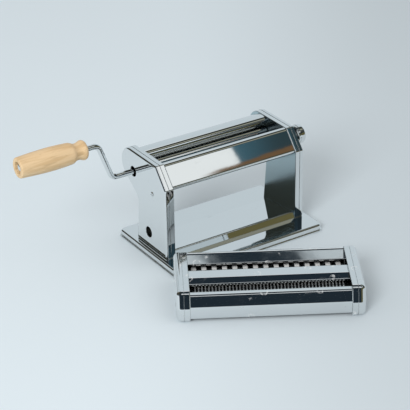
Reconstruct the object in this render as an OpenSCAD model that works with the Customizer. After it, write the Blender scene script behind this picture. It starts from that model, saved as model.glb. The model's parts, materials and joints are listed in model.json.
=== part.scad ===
// Hand-cranked pasta machine with its cutter head standing beside it.
// X runs along the rollers, Y to the back, Z up; the origin is the middle of the base on the table.

/* [Base] */
// How far the base plate stands out beyond each side panel
base_side = 7.1; // [3:0.1:25]
// Depth of the base plate, front to back
base_d = 118; // [112:1:122]
// Height of the base plate's top above the table
base_h = 8; // [7:0.5:12]
// Corner radius of the base plate in plan
base_corner = 7; // [5:0.5:12]
// Radius of the base plate's rolled upper edge
base_edge = 2.4; // [1.8:0.1:3]
// Sheet thickness of the base plate
base_sheet = 1.5; // [1.2:0.1:2]
// How far the foot rim stands out of the base wall
rim_w = 1.4; // [0.8:0.1:2.5]
// Height of the foot rim
rim_h = 2; // [1.4:0.1:2.6]

/* [Side panels] */
// Clear distance between the two side panels
inner_span = 152; // [120:1:160]
// Thickness of a side panel, inner plate and outer cover together
panel_t = 10.9; // [10.7:0.1:14]
// Sheet thickness of covers and flanges
sheet = 1; // [0.8:0.1:1.1]
// Thickness of the inner plates
plate_t = 1.5; // [1.2:0.1:1.7]
// Distance of the panel's front edge from the middle
panel_front = 30; // [29:0.5:36]
// Distance of the panel's rear foot from the middle
panel_rear = 29.4; // [26:0.2:34]
// Forward lean of the panel's rear edge, in degrees
leg_lean = 5.9; // [3:0.1:8]
// Height of the panel's top above the base
panel_h = 99.8; // [99:0.1:106]
// Height of the slanted facet
facet_h = 21.5; // [18:0.1:26]
// How far the slanted facet leans back
facet_run = 18; // [15:0.5:19]
// Radius of the round rear lobe
lobe_r = 18; // [17:0.2:20]
// Place of the lobe's centre behind the middle
lobe_y = 39.4; // [38:0.2:42]
// Slope of the edge under the lobe, in degrees
lobe_slope = 35.6; // [34:0.2:37]
// Radius of the hollow at the waist
waist_round = 12; // [6:0.5:18]
// Radius at the facet's two corners
facet_round = 2; // [1:0.25:4]
// Radius of the outer cover's rounded rim
cover_round = 2.6; // [1.6:0.1:3]
// Width of the open seam between plate and cover
seam_w = 0.4; // [0.2:0.1:0.6]

/* [Rollers] */
// Diameter of the two smooth rollers
roller_d = 27; // [25:0.1:27.5]
// Place of the rear roller's axis behind the middle
axle_y = 32.5; // [32:0.1:33.5]
// Depth of the roller axes under the panel's top
axle_drop = 23.3; // [22:0.1:24]
// Widest gap between the rollers
gap_open = 2.5; // [2:0.1:2.7]
// Narrowest gap between the rollers
gap_close = 0.3; // [0.2:0.05:0.6]
// Diameter of the roller shafts
shaft_d = 12; // [10:0.2:12.4]
// Clearance between a roller's end and the panel
roller_play = 0.4; // [0.3:0.1:1]
// Running clearance on the radius of every bearing
fit = 0.05; // [0.02:0.01:0.09]
// Teeth on each roller gear
gear_teeth = 13; // [11:1:15]
// Width of the roller gears
gear_w = 5; // [3.6:0.1:5.2]

/* [Thickness adjuster] */
// Place of the adjusting rod in front of the middle
rod_y = 11; // [10.9:0.1:11.5]
// Depth of the adjusting rod's axis under the panel's top
rod_drop = 11.4; // [11:0.1:12]
// Diameter of the adjusting rod
rod_d = 5; // [4:0.2:5.2]
// Diameter of the eccentric cams
cam_d = 9.6; // [9:0.1:9.8]
// Turn of the knob from widest to narrowest, in degrees
knob_turn = 90; // [80:5:110]
// Diameter of the knob
knob_d = 21; // [18:0.5:24]
// Length of the knob
knob_len = 9.3; // [8:0.1:16]

/* [Crank] */
// Diameter of the bent crank rod
crank_d = 6; // [5:0.2:6.6]
// Distance from the panel to the crank's first bend
crank_reach = 25.5; // [20:0.5:40]
// Crank radius, from the roller axis to the grip's axis
crank_rise = 40.3; // [34:0.5:60]
// Outward slant of the crank arm, in degrees
crank_slant = 20; // [0:1:30]
// Bend radius of the crank rod on its centre line
crank_bend = 8; // [6:0.5:11]
// Length of the turned wooden grip
grip_len = 76.4; // [60:0.2:100]
// Largest diameter of the grip
grip_d = 24.4; // [20:0.2:30]
// Bare rod between the second bend's corner and the grip
grip_gap = 14.8; // [10:0.2:20]
// Diameter of the hole in the cover that the crank passes through
crank_hole_d = 11.5; // [9:0.5:11.5]
// Diameter of the table clamp's hole
clamp_hole_d = 12; // [8:0.5:14]

/* [Cutter head] */
// Length of the cutter head over its end caps
head_len = 185.8; // [164:0.2:204]
// Distance of the cutter head's front face from the middle of its slots
head_front = 41; // [40:0.5:43]
// Distance of the cutter head's back from the middle of its slots
head_back = 39; // [38:0.5:42]
// Height of the cutter head's top at its front
head_h = 31; // [30.5:0.5:33]
// How much higher the cutter head is at its back
head_rise = 6; // [4:0.5:8]
// How far the upper part of the head's front face leans back
head_lean = 5.5; // [4:0.5:6]
// Height of the upright part of the head's front face
head_skirt = 14.3; // [12:0.1:17]
// Width of one end cap, plate and cap together
cap_w = 13.9; // [13:0.1:16]
// Radius of the end caps' rounded rim
cap_round = 6; // [4:0.1:6.5]
// Where the cutter head stands: to the right of the middle
head_x = -37.2; // [-45:0.5:60]
// Where the cutter head stands: in front of the middle
head_y = 140.9; // [140:0.5:200]
// Turn of the cutter head on the table, in degrees
head_yaw = -30; // [-32:1:0]
// Distance of each cutter pair from the head's middle
pair_offset = 19; // [18.6:0.1:19.2]
// Distance between the two axes of a cutter pair
pair_spacing = 15; // [14.8:0.1:15.2]
// Diameter of the cutting discs
disc_d = 16; // [15.6:0.1:16.2]
// Diameter at the bottom of the grooves between the discs
groove_d = 12; // [11.6:0.1:12.4]
// Height of the cutter axes
cutter_h = 14.5; // [14:0.1:15]
// Width of the wide strips
wide_strip = 5.2; // [4:0.1:8]
// Width of the fine strips
fine_strip = 1.7; // [1.6:0.05:3]
// Side clearance between neighbouring cutting discs
disc_play = 0.3; // [0.15:0.05:0.35]
// Width of each feed slot
slot_w = 12.6; // [10:0.2:13]

/* [Hidden] */
$fn = 64;
chrome = [0.8, 0.83, 0.85];
steel = [0.62, 0.65, 0.67];
brass = [0.78, 0.64, 0.36];
beech = [0.87, 0.69, 0.48];
// Small overlap that lets a cut run clear through a face
cut = 1;
// Gap between faces that move past each other
play = 0.3;

// Panel planes along X, for the right panel
plate_in = inner_span / 2;
plate_out = plate_in + plate_t;
cover_out = plate_in + panel_t;
cover_in = cover_out - sheet;
seam_x = plate_in + panel_t / 2;
// Thickness of the step that the cover's flange sits on
step_t = 0.8;
step_x = cover_in - cover_round + sheet;
// How far the cavity's wall lies inside the panel's outline
cavity_inset = sheet + step_t;
plate_round = 0.8;
// Size of the blocks that trim a drawn plate flat
reach = 2 * panel_h;

// Heights above the table
top_z = base_h + panel_h;
knee_z = base_h + panel_h - facet_h;
axle_z = base_h + panel_h - axle_drop;
rod_z = base_h + panel_h - rod_drop;

// Outline of a side panel, anticlockwise in Y and Z: [y, z, corner radius, steps]
foot_round = 0.6;
foot_z = base_h - 2;
lobe_tip_y = lobe_y + lobe_r / tan(lobe_slope / 2);
waist_z = (top_z - (lobe_tip_y - panel_rear - base_h * tan(leg_lean)) * tan(lobe_slope))
          / (1 + tan(leg_lean) * tan(lobe_slope));
waist_y = panel_rear - (waist_z - base_h) * tan(leg_lean);
facet_top_y = facet_run - panel_front;
panel_corners = [[-panel_front, foot_z, foot_round, 1],
                 [panel_rear + 2 * tan(leg_lean), foot_z, foot_round, 1],
                 [waist_y, waist_z, waist_round, 7], [lobe_tip_y, top_z, lobe_r, 18],
                 [facet_top_y, top_z, facet_round, 4], [-panel_front, knee_z, facet_round, 4]];
// Unit vector square to the facet, pointing out
facet_n = [knee_z - top_z, facet_run] / norm([knee_z - top_z, facet_run]);
facet_down = [-facet_run, knee_z - top_z] / norm([facet_run, top_z - knee_z]);

// Base plate outline in plan
base_w = 2 * (cover_out + base_side);
base_corners = [for (p = [[-1, -1], [1, -1], [1, 1], [-1, 1]])
                [p.x * base_w / 2, p.y * base_d / 2, base_corner, 6]];
base_screw_y = 18;
base_screw_d = 3.6;
screw_head_d = 6;

// Rollers
roller_end = plate_in - roller_play;
gear_x = plate_out + 2.2;
travel = gap_open - gap_close;
front_y = axle_y - roller_d - gap_open;
gear_module = (roller_d + gap_close) / gear_teeth;
bush_wall = 2;
bush_flange = 1.5;
bush_end = plate_out + bush_flange;
shaft_end = cover_in - 2.3;
flat_depth = 1.2;
clip_t = 1;
clip_seat = 0.6;
clip_wide = 2.5;
clip_x = plate_out + 2.3;
socket_depth = 20;
socket_square = 4.4;
socket_round = 8;

// Bearing plates slide on the outer faces of the inner plates
bearing_in = plate_out + 0.1;
bearing_out = bearing_in + 1.8;
bearing_boss = shaft_d / 2 + 3.5;
bar_w = 7;
guide_d = 4;
guide_reach = 14.5;
prong = 1.6;
fork_web = 2.4;
cam_throw = travel / (2 * sin(knob_turn / 2));
fork_slot = cam_d + 2 * 0.08;
fork_y = -rod_y - travel / 2;
fork_low = rod_z - cam_throw - cam_d / 2 - 0.5;
fork_top = rod_z - 0.4;

// Knob
knob_in = cover_out + 0.4;
knob_out = knob_in + knob_len;
knob_round = 3;
stop_r = 6.5;
stop_pin_d = 2.4;
stop_from = -85;
rod_in_knob = knob_in + 6.2;

// Crank, in the plane of the rear roller's axis
crank_tip = -(shaft_end - socket_depth + 0.6);
crank_corner = -(cover_out + crank_reach);
crank_top = crank_corner - crank_rise * tan(crank_slant);
grip_z = axle_z + crank_rise;
grip_right = crank_top - grip_gap;
grip_left = grip_right - grip_len;
recess_d = 12.8;
recess_deep = 8;
washer_t = 1.2;
washer_d = 11;
rod_head_t = 1.4;
// A bent rod is drawn a hair thinner along its bends
bend_neck = 0.04;
crank_end = grip_left + recess_deep - play - washer_t;

// Tie rods: [y, z] of the front and the rear one
tie_d = 6;
tenon_d = 4;
tie_head_t = 1.2;
tie_inset = 10;
tie_drop = 0.5;
tie_clear = 4.1;
tie_front = [tie_inset - panel_front, axle_z - tie_drop];
tie_rear = [axle_y, axle_z] + (roller_d / 2 + tie_clear) * [cos(10), sin(10)];

// Front cover: how far it lies under the panels' edges, its land, guard and hem
front_sink = 0.6;
front_land = 5;
front_guard = 7;
front_hem = 4;

// Rear cover: a sheet curved round the rear roller's axis
rear_cover_clear = 9;
rear_cover_r = roller_d / 2 + rear_cover_clear;
rear_lip = 123;
rear_tail = -13;

// Scrapers under the rollers: the tip's place beside the axis, the blade's run and drop, and its foot
scraper_off = 1.2;
scraper_run = 4.4;
scraper_drop = 5;
scraper_foot = 2.6;
scraper_bend = 1.5;

// Screws that hold the covers: [y, z] on the left and on the right
cover_screw_y = 4.4;
left_screw_drop = 11.3;
right_screw_drop = 24.5;
cover_screw_left = [-cover_screw_y, axle_z - left_screw_drop];
cover_screw_right = [-cover_screw_y, axle_z - right_screw_drop];
cover_screw_d = 3;
post_d = 5;
clamp_y = 4.6;
clamp_z = base_h + 17.4;
socket_wall = 1;

// Floor plate
floor_lip = 9;
floor_rise = 6.6;
floor_lean = 2.4;
floor_back = 28.4;
floor_screw_in = 18.5;
floor_screw_y = 21.6;
floor_screw_at = [floor_screw_in - plate_in, floor_screw_y];

// Cutter head, in its own frame: X along it, Y to its back
head_in = head_len / 2 - cap_w;
head_plate_t = 1.2;
head_plate_out = head_in + head_plate_t;
head_out = head_len / 2;
head_cap_in = head_out - sheet;
flange_w = 5.75;
head_seam = head_in + flange_w;
head_corners = [[-head_front, 0, 3.5, 3], [head_back, 0, 3.5, 3], [head_back, head_h + head_rise, 5, 5],
                [head_lean - head_front, head_h, 5, 5], [-head_front, head_skirt, 8, 2]];
cutter_shaft_d = 9.2;
cutter_margin = 3;
cutter_len = 2 * (head_in - cutter_margin);
head_bush_wall = 1.4;
head_bush_flange = 1.1;
head_gear_teeth = 10;
head_gear_w = 4;
head_gear_x = head_plate_out + 1.8;
head_shaft_end = head_cap_in - 1.5;
head_socket_d = crank_d + 2 * fit;
head_hole_d = 10;
head_tie_d = 4.4;
comb_t = 1.2;
comb_w = 5;
comb_low = 2.5;
finger_t = 1;
wide_count = floor((cutter_len / wide_strip + 1) / 2);
fine_count = floor((cutter_len / fine_strip + 1) / 2);

// Smallest radius that an inset corner keeps
least_round = 0.6;

// Vector helpers in the plane
function unit(v) = v / norm(v);
function left_of(v) = [-v.y, v.x];
function bend(u, v) = u.x * v.y - u.y * v.x;
function flat2(p) = [p.x, p.y];

// Points round the corner q = [x, y, radius, steps] on the way from p to s, moved in to the left by inset
function corner_points(p, q, s, inset) =
  let (u = unit(flat2(q) - flat2(p)),
       v = unit(flat2(s) - flat2(q)),
       side = bend(u, v) >= 0 ? 1 : -1,
       turn = acos(max(-1, min(1, u * v))),
       r = max(q[2], side * inset + least_round),
       centre = flat2(q) - u * r * tan(turn / 2) + left_of(u) * side * r,
       start = atan2(-left_of(u).y * side, -left_of(u).x * side))
  [for (k = [0:q[3]])
    let (a = start + side * turn * k / q[3])
    centre + (r - side * inset) * [cos(a), sin(a)]];

// A closed outline of rounded corners
function outline(c, inset) =
  let (n = len(c))
  [for (i = [0:n - 1]) each corner_points(c[(i + n - 1) % n], c[i], c[(i + 1) % n], inset)];

// An open path of rounded corners, from its first point to its last
function path(c, inset) =
  let (n = len(c),
       first = unit(flat2(c[1]) - flat2(c[0])),
       last = unit(flat2(c[n - 1]) - flat2(c[n - 2])))
  concat([flat2(c[0]) + left_of(first) * inset],
         [for (i = [1:n - 2]) each corner_points(c[i - 1], c[i], c[i + 1], inset)],
         [flat2(c[n - 1]) + left_of(last) * inset]);

function backwards(list) = [for (i = [len(list) - 1:-1:0]) list[i]];
function ring_x(c, x, inset) = [for (p = outline(c, inset)) [x, p.x, p.y]];
function ring_z(c, z, inset) = [for (p = outline(c, inset)) [p.x, p.y, z]];

// Half the angle a tooth covers at radius r, on involute flanks
function involute(a) = tan(a) * 180 / PI - a;
function tooth_half(r, rp, rb, half) =
  half + involute(acos(rb / rp)) - involute(acos(min(1, rb / max(r, rb))));

// A solid through rings of equally many points
module skin(rings) {
  n = len(rings[0]);
  last = (len(rings) - 1) * n;
  sides = [for (j = [0:len(rings) - 2]) for (i = [0:n - 1])
           let (a = j * n + i, b = j * n + (i + 1) % n)
           each [[a, a + n, b + n], [a, b + n, b]]];
  polyhedron([for (ring = rings) each ring],
             concat([[for (i = [0:n - 1]) i]], sides, [[for (i = [n - 1:-1:0]) last + i]]));
}

// A profile in Y and Z drawn out along X
module along_x(x0, x1) {
  translate([x0, 0, 0])
    rotate([90, 0, 90])
      linear_extrude(x1 - x0)
        children();
}

// A round rod along X at [y, z]
module rod_x(x0, x1, at, d) {
  translate([x0, at.x, at.y])
    rotate([0, 90, 0])
      cylinder(d = d, h = x1 - x0);
}

module tube_x(x0, x1, at, d_out, d_in) {
  difference() {
    rod_x(x0, x1, at, d_out);
    rod_x(x0 - cut, x1 + cut, at, d_in);
  }
}

// A profile of radius and X turned about the X axis at [y, z]
module spun_x(at) {
  translate([0, at.x, at.y])
    rotate([0, 90, 0])
      rotate_extrude()
        children();
}

// The same solid on the left and on the right
module both_sides() {
  children();
  mirror([1, 0, 0])
    children();
}

// Sheet metal bent along an open path, its thickness on the path's left
module bent_sheet(x0, x1, corners, t) {
  along_x(x0, x1)
    polygon(concat(path(corners, 0), backwards(path(corners, t))));
}

// Everything to the left of x, to the right of x, and under z
module left_of_x(x) {
  translate([x - reach, -2 * reach, -reach])
    cube([reach, 4 * reach, 4 * reach]);
}

module right_of_x(x) {
  translate([x, -2 * reach, -reach])
    cube([reach, 4 * reach, 4 * reach]);
}

module under_z(z) {
  translate([-2 * reach, -2 * reach, z - reach])
    cube([4 * reach, 4 * reach, reach]);
}

// Plate with its rim turned outward and a step for the cover's flange, standing on floor_z
module edge_plate(c, x0, seam, step_end, t, floor_z) {
  difference() {
    skin([ring_x(c, x0 - cut, plate_round), ring_x(c, x0, plate_round),
          ring_x(c, x0 + plate_round * 0.3, plate_round * 0.3), ring_x(c, x0 + plate_round, 0),
          ring_x(c, seam - seam_w / 2, 0), ring_x(c, seam - seam_w / 2, sheet),
          ring_x(c, step_end, sheet)]);
    left_of_x(x0);
    under_z(floor_z);
    difference() {
      under_z(floor_z + sheet);
      left_of_x(seam - seam_w / 2);
    }
    difference() {
      skin([ring_x(c, x0 + t - cut, cavity_inset), ring_x(c, step_end + cut, cavity_inset)]);
      left_of_x(x0 + t);
      under_z(floor_z + cavity_inset);
    }
  }
}

// Drawn cover with a rim of radius r, open towards the plate, standing on floor_z
module edge_cover(c, seam, x1, floor_z, r) {
  difference() {
    skin(concat([ring_x(c, seam - cut, 0)],
                [for (a = [0:22.5:90]) ring_x(c, x1 - r + r * sin(a), r * (1 - cos(a)))],
                [ring_x(c, x1 + cut, r)]));
    left_of_x(seam + seam_w / 2);
    right_of_x(x1);
    under_z(floor_z);
    difference() {
      skin([ring_x(c, seam - 2 * cut, sheet), ring_x(c, x1 - r, sheet), ring_x(c, x1 - sheet, r),
            ring_x(c, x1, r)]);
      right_of_x(x1 - sheet);
      under_z(floor_z + sheet);
    }
  }
}

// Spur gear profile with a tooth pointing along the first axis
module gear_profile(teeth, m) {
  rp = teeth * m / 2;
  rb = rp * cos(20);
  root = rp - m;
  tip = rp + 0.75 * m;
  backlash = 0.12;
  half = 90 / teeth - backlash / rp * 180 / PI;
  radii = [root, rb, rp, (rp + tip) / 2, tip];
  polygon([for (i = [0:teeth - 1]) each
    concat([for (r = radii) let (a = 360 * i / teeth - tooth_half(r, rp, rb, half)) r * [cos(a), sin(a)]],
           [for (r = backwards(radii)) let (a = 360 * i / teeth + tooth_half(r, rp, rb, half))
             r * [cos(a), sin(a)]])]);
}

// Shaft end section with one flat, which keys the gears
module keyed_circle(d) {
  difference() {
    circle(d = d);
    translate([d / 2 - flat_depth, -d])
      square(2 * d);
  }
}

module gear_x_at(x0, w, at, teeth, m, bore, turn) {
  along_x(x0, x0 + w)
    translate(at)
      difference() {
        rotate(turn)
          gear_profile(teeth, m);
        keyed_circle(bore);
      }
}

// Round hole drawn out sideways by the roller's travel
module travel_slot(x0, x1, at, d) {
  along_x(x0, x1)
    translate(at) {
      circle(d = d);
      translate([travel, 0])
        circle(d = d);
      translate([0, -d / 2])
        square([travel, d]);
    }
}

// Base and floor

module base_plate() {
  wall = rim_w + base_sheet;
  r = base_edge;
  color(chrome)
    difference() {
      skin(concat([ring_z(base_corners, -cut, 0), ring_z(base_corners, rim_h * 0.7, 0),
                   ring_z(base_corners, rim_h, rim_w * 0.3), ring_z(base_corners, rim_h + 0.4, rim_w)],
                  [for (a = [0:22.5:90])
                    ring_z(base_corners, base_h - r + r * sin(a), rim_w + r * (1 - cos(a)))]));
      skin([ring_z(base_corners, -2 * cut, wall), ring_z(base_corners, base_h - base_sheet, wall)]);
      translate([-base_w, -base_d, -4 * cut])
        cube([2 * base_w, 2 * base_d, 4 * cut]);
      base_screw_holes();
      translate([floor_screw_at.x, floor_screw_at.y, 0])
        cylinder(d = tenon_d / 2, h = base_h + cut);
    }
}

// Places of the screws that hold the panels to the base
module at_base_screws() {
  for (x = [-1, 1], y = [-1, 1])
    translate([x * (plate_in + plate_t + 2), y * base_screw_y, 0])
      children();
}

module base_screw_holes() {
  at_base_screws()
    cylinder(d = base_screw_d, h = base_h + cavity_inset + cut);
}

module base_screws() {
  head_z = base_h - base_sheet;
  color(steel)
    at_base_screws() {
      translate([0, 0, head_z])
        cylinder(d = base_screw_d, h = base_sheet + cavity_inset);
      translate([0, 0, head_z - 2])
        cylinder(d = screw_head_d, h = 2);
    }
}

module floor_plate() {
  front = panel_front - 0.6;
  color(chrome)
    difference() {
      bent_sheet(-plate_in, plate_in,
                 [[floor_back, base_h + sheet], [floor_back - 5, base_h + sheet, 4, 3],
                  [floor_lean - front, base_h + floor_rise + sheet / 2, 2, 6], [-front, base_h]], sheet);
      under_z(base_h);
      translate([floor_screw_at.x, floor_screw_at.y, 0])
        cylinder(d = tenon_d / 2, h = base_h + floor_lip);
      translate([floor_screw_at.x, floor_screw_at.y, floor_screw_z()])
        cylinder(d = tenon_d + 2 * fit, h = floor_lip);
    }
}

// Height of the seat under the floor screw's head
function floor_screw_z() =
  base_h + sheet + max(0, (floor_back - 5 - floor_screw_at.y) * (floor_rise - sheet / 2)
                          / (floor_back - 5 + panel_front - 0.6));

module floor_screw() {
  head_z = floor_screw_z();
  color(steel)
    translate([floor_screw_at.x, floor_screw_at.y, 0]) {
      translate([0, 0, base_h - base_sheet])
        cylinder(d = tenon_d / 2, h = head_z - base_h + base_sheet);
      translate([0, 0, head_z])
        cylinder(d1 = tenon_d, d2 = tenon_d * 0.6, h = 0.9);
    }
}

// Side panels, drawn for the right side and mirrored for the left

module panel_plate(clamp) {
  difference() {
    edge_plate(panel_corners, plate_in, seam_x, step_x, plate_t, base_h);
    rod_x(plate_in - cut, plate_out + cut, [axle_y, axle_z], shaft_d + 2 * (fit + bush_wall));
    travel_slot(plate_in - cut, plate_out + cut, [front_y, axle_z], shaft_d + 2 * play);
    rod_x(plate_in - cut, plate_out + cut, [-rod_y, rod_z], rod_d + 2 * fit);
    for (at = [tie_front, tie_rear])
      rod_x(plate_in - cut, plate_out + cut, at, tenon_d);
    for (z = [-1, 1])
      rod_x(plate_in - cut, plate_out + cut, [front_y + travel / 2, axle_z + z * guide_reach], guide_d);
    base_screw_holes();
    if (clamp)
      rod_x(plate_in - cut, plate_out + cut, [clamp_y, clamp_z], clamp_hole_d);
  }
}

module left_inner_plate() {
  color(steel)
    mirror([1, 0, 0])
      panel_plate(true);
}

module right_inner_plate() {
  color(steel)
    panel_plate(false);
}

module left_outer_cover() {
  color(chrome)
    mirror([1, 0, 0])
      difference() {
        edge_cover(panel_corners, seam_x, cover_out, base_h, cover_round);
        rod_x(cover_in - cut, cover_out + cut, [axle_y, axle_z], crank_hole_d);
        rod_x(cover_in - cut, cover_out + cut, [clamp_y, clamp_z], clamp_hole_d);
        rod_x(cover_in - cut, cover_out + cut, cover_screw_left, cover_screw_d);
      }
}

module right_outer_cover() {
  color(chrome)
    difference() {
      edge_cover(panel_corners, seam_x, cover_out, base_h, cover_round);
      rod_x(cover_in - cut, cover_out + cut, [-rod_y, rod_z], rod_d + 2 * play);
      rod_x(cover_in - cut, cover_out + cut, cover_screw_right, cover_screw_d);
      stop_slot();
    }
}

// Curved slot in the right cover that ends the knob's turn at both sides, a little wider at its ends
module stop_slot() {
  w = stop_pin_d + 2 * play;
  band = w - play / 2;
  along_x(cover_in - cut, cover_out + cut)
    translate([-rod_y, rod_z]) {
      intersection() {
        difference() {
          circle(r = stop_r + band / 2);
          circle(r = stop_r - band / 2);
        }
        polygon([[0, 0], for (k = [0:4]) 3 * stop_r * [cos(stop_from + knob_turn * k / 4),
                                                       sin(stop_from + knob_turn * k / 4)]]);
      }
      for (a = [stop_from, stop_from + knob_turn])
        rotate(a)
          translate([stop_r, 0])
            circle(d = w);
    }
}

// A domed screw whose head lies on a cover at [y, z], drawn for the right side
module cover_screw(at) {
  rod_x(plate_out, cover_out, at, cover_screw_d);
  spun_x(at)
    polygon([[0, cover_out], [cover_screw_d * 0.9, cover_out], [cover_screw_d * 0.75, cover_out + 0.7],
             [cover_screw_d * 0.4, cover_out + 1.05], [0, cover_out + 1.15]]);
}

module cover_screws() {
  color(chrome) {
    mirror([1, 0, 0])
      cover_screw(cover_screw_left);
    cover_screw(cover_screw_right);
  }
}

module cover_posts() {
  color(steel) {
    mirror([1, 0, 0])
      tube_x(plate_out, cover_in, cover_screw_left, post_d, cover_screw_d);
    tube_x(plate_out, cover_in, cover_screw_right, post_d, cover_screw_d);
  }
}

// Tube between the left plate and the left cover that takes the table clamp's peg
module clamp_socket() {
  color(steel)
    tube_x(-cover_in, -plate_out, [clamp_y, clamp_z], clamp_hole_d + 2 * socket_wall, clamp_hole_d);
}

// Covers and strips between the panels

module front_cover() {
  edge = [facet_top_y, top_z - front_sink];
  low = flat2([-panel_front, knee_z]) - facet_n * front_sink;
  color(chrome)
    bent_sheet(-plate_in, plate_in,
               [[edge.x + front_land, edge.y - front_guard], [edge.x + front_land, edge.y, 1.5, 3],
                [edge.x, edge.y, 2.5, 4], [low.x, low.y, 2, 4], [low.x + front_hem, low.y - 2.5]], sheet);
}

module rear_cover() {
  color(chrome)
    translate([-plate_in, axle_y, axle_z])
      rotate([90, 0, 90])
        linear_extrude(inner_span)
          intersection() {
            difference() {
              circle(r = rear_cover_r);
              circle(r = rear_cover_r - sheet);
            }
            polygon([[0, 0], for (k = [0:5])
              let (a = rear_tail + (rear_lip - rear_tail) * k / 5)
              3 * rear_cover_r * [cos(a), sin(a)]]);
          }
}

// Thin strip that keeps dough off a roller, its edge just under the roller
module scraper(tip, foot) {
  low = axle_z - roller_d / 2;
  bent_sheet(-plate_in, plate_in,
             [[tip, low - play], [foot, low - scraper_drop, scraper_bend, 3],
              [foot, low - scraper_drop - scraper_foot]], sign(tip - foot) * sheet);
}

module front_scraper() {
  color(steel)
    scraper(front_y + scraper_off, front_y + scraper_off + scraper_run);
}

module rear_scraper() {
  color(steel)
    scraper(axle_y - scraper_off, axle_y - scraper_off - scraper_run);
}

module tie_rods() {
  color(steel)
    for (at = [tie_front, tie_rear]) {
      rod_x(-plate_in, plate_in, at, tie_d);
      both_sides() {
        rod_x(plate_in, plate_out, at, tenon_d);
        rod_x(plate_out, plate_out + tie_head_t, at, tie_d);
      }
    }
}

module roller_bushes() {
  bore = shaft_d + 2 * fit;
  at = [axle_y, axle_z];
  color(brass)
    both_sides()
      difference() {
        union() {
          rod_x(plate_in, bush_end, at, bore + 2 * bush_wall);
          rod_x(plate_out, bush_end, at, bore + 2 * bush_wall + 3);
        }
        rod_x(plate_in - cut, bush_end + cut, at, bore);
      }
}

module guide_pins() {
  color(steel)
    both_sides()
      for (z = [-1, 1])
        rod_x(plate_in, bearing_out, [front_y + travel / 2, axle_z + z * guide_reach], guide_d);
}

// Rollers

module roller_sleeve(at) {
  tube_x(-roller_end, roller_end, at, roller_d, shaft_d);
}

// Roller shaft with a keyed right end for its gear and a clip groove on the left
module roller_shaft(at, left_end) {
  r = shaft_d / 2;
  seat = r - clip_seat;
  right_end = gear_x + gear_w;
  difference() {
    spun_x(at)
      polygon([[0, left_end], [r, left_end], [r, -clip_x - clip_t], [seat, -clip_x - clip_t],
               [seat, -clip_x], [r, -clip_x], [r, right_end], [0, right_end]]);
    translate([gear_x, at.x + r - flat_depth, at.y - shaft_d])
      cube([gear_w + cut, shaft_d, 2 * shaft_d]);
  }
}

module shaft_clip(at) {
  tube_x(-clip_x - clip_t, -clip_x, at, shaft_d + 2 * clip_wide, shaft_d - 2 * clip_seat);
}

module rear_roller() {
  color(chrome)
    roller_sleeve([axle_y, axle_z]);
}

module rear_shaft() {
  color(steel)
    difference() {
      roller_shaft([axle_y, axle_z], -shaft_end);
      rod_x(-shaft_end - cut, -shaft_end + socket_round, [axle_y, axle_z], crank_d + 2 * fit);
      translate([-shaft_end + socket_round - cut, axle_y - socket_square / 2, axle_z - socket_square / 2])
        cube([socket_depth - socket_round + cut, socket_square, socket_square]);
    }
}

module rear_gear() {
  color(steel)
    gear_x_at(gear_x, gear_w, [axle_y, axle_z], gear_teeth, gear_module, shaft_d, 180);
}

module rear_clip() {
  color(steel)
    shaft_clip([axle_y, axle_z]);
}

module front_roller() {
  color(chrome)
    roller_sleeve([front_y, axle_z]);
}

module front_shaft() {
  color(steel)
    roller_shaft([front_y, axle_z], -clip_x - 2 * clip_t);
}

module front_gear() {
  color(steel)
    gear_x_at(gear_x, gear_w, [front_y, axle_z], gear_teeth, gear_module, shaft_d, 180 / gear_teeth);
}

module front_clip() {
  color(steel)
    shaft_clip([front_y, axle_z]);
}

// Adjuster: bearing plates that the eccentric cams shift to and fro

module bearing_plate() {
  bar_top = axle_z + guide_reach + guide_d;
  bar_low = axle_z - guide_reach - guide_d;
  fork_w = fork_slot + 2 * prong;
  difference() {
    along_x(bearing_in, bearing_out)
      difference() {
        union() {
          translate([front_y, axle_z])
            circle(r = bearing_boss);
          translate([front_y - bar_w / 2, bar_low])
            square([bar_w, bar_top - bar_low]);
          translate([fork_y - fork_w / 2, fork_low - fork_web])
            square([fork_w, fork_top - fork_low + fork_web]);
          polygon([[fork_y - fork_w / 2, fork_low - fork_web], [front_y, axle_z - bearing_boss * 0.8],
                   [front_y, fork_low]]);
        }
        translate([fork_y - fork_slot / 2, fork_low])
          square([fork_slot, 2 * cam_d]);
      }
    rod_x(bearing_in - cut, bearing_out + cut, [front_y, axle_z], shaft_d + 2 * fit);
    for (z = [-1, 1])
      travel_slot(bearing_in - cut, bearing_out + cut,
                  [front_y - travel / 2, axle_z + z * guide_reach], guide_d + 2 * fit);
  }
}

module left_bearing_plate() {
  color(brass)
    mirror([1, 0, 0])
      bearing_plate();
}

module right_bearing_plate() {
  color(brass)
    bearing_plate();
}

module adjusting_rod() {
  color(steel)
    difference() {
      rod_x(-bearing_out - 2 * clip_t, rod_in_knob, [-rod_y, rod_z], rod_d);
      tube_x(-bearing_out - 1.5 * clip_t, -bearing_out - 0.5 * clip_t, [-rod_y, rod_z],
             rod_d + cut, rod_d - clip_seat);
    }
}

// Eccentric disc on the adjusting rod, its throw pointing down and to the front at rest
module cam() {
  difference() {
    rod_x(bearing_in, bearing_out,
          [-rod_y - cam_throw * sin(knob_turn / 2), rod_z - cam_throw * cos(knob_turn / 2)], cam_d);
    rod_x(bearing_in - cut, bearing_out + cut, [-rod_y, rod_z], rod_d);
  }
}

module left_cam() {
  color(brass)
    mirror([1, 0, 0])
      cam();
}

module right_cam() {
  color(brass)
    cam();
}

module rod_clip() {
  color(steel)
    tube_x(-bearing_out - 1.5 * clip_t, -bearing_out - 0.5 * clip_t, [-rod_y, rod_z],
           rod_d + clip_wide, rod_d - clip_seat);
}

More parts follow.
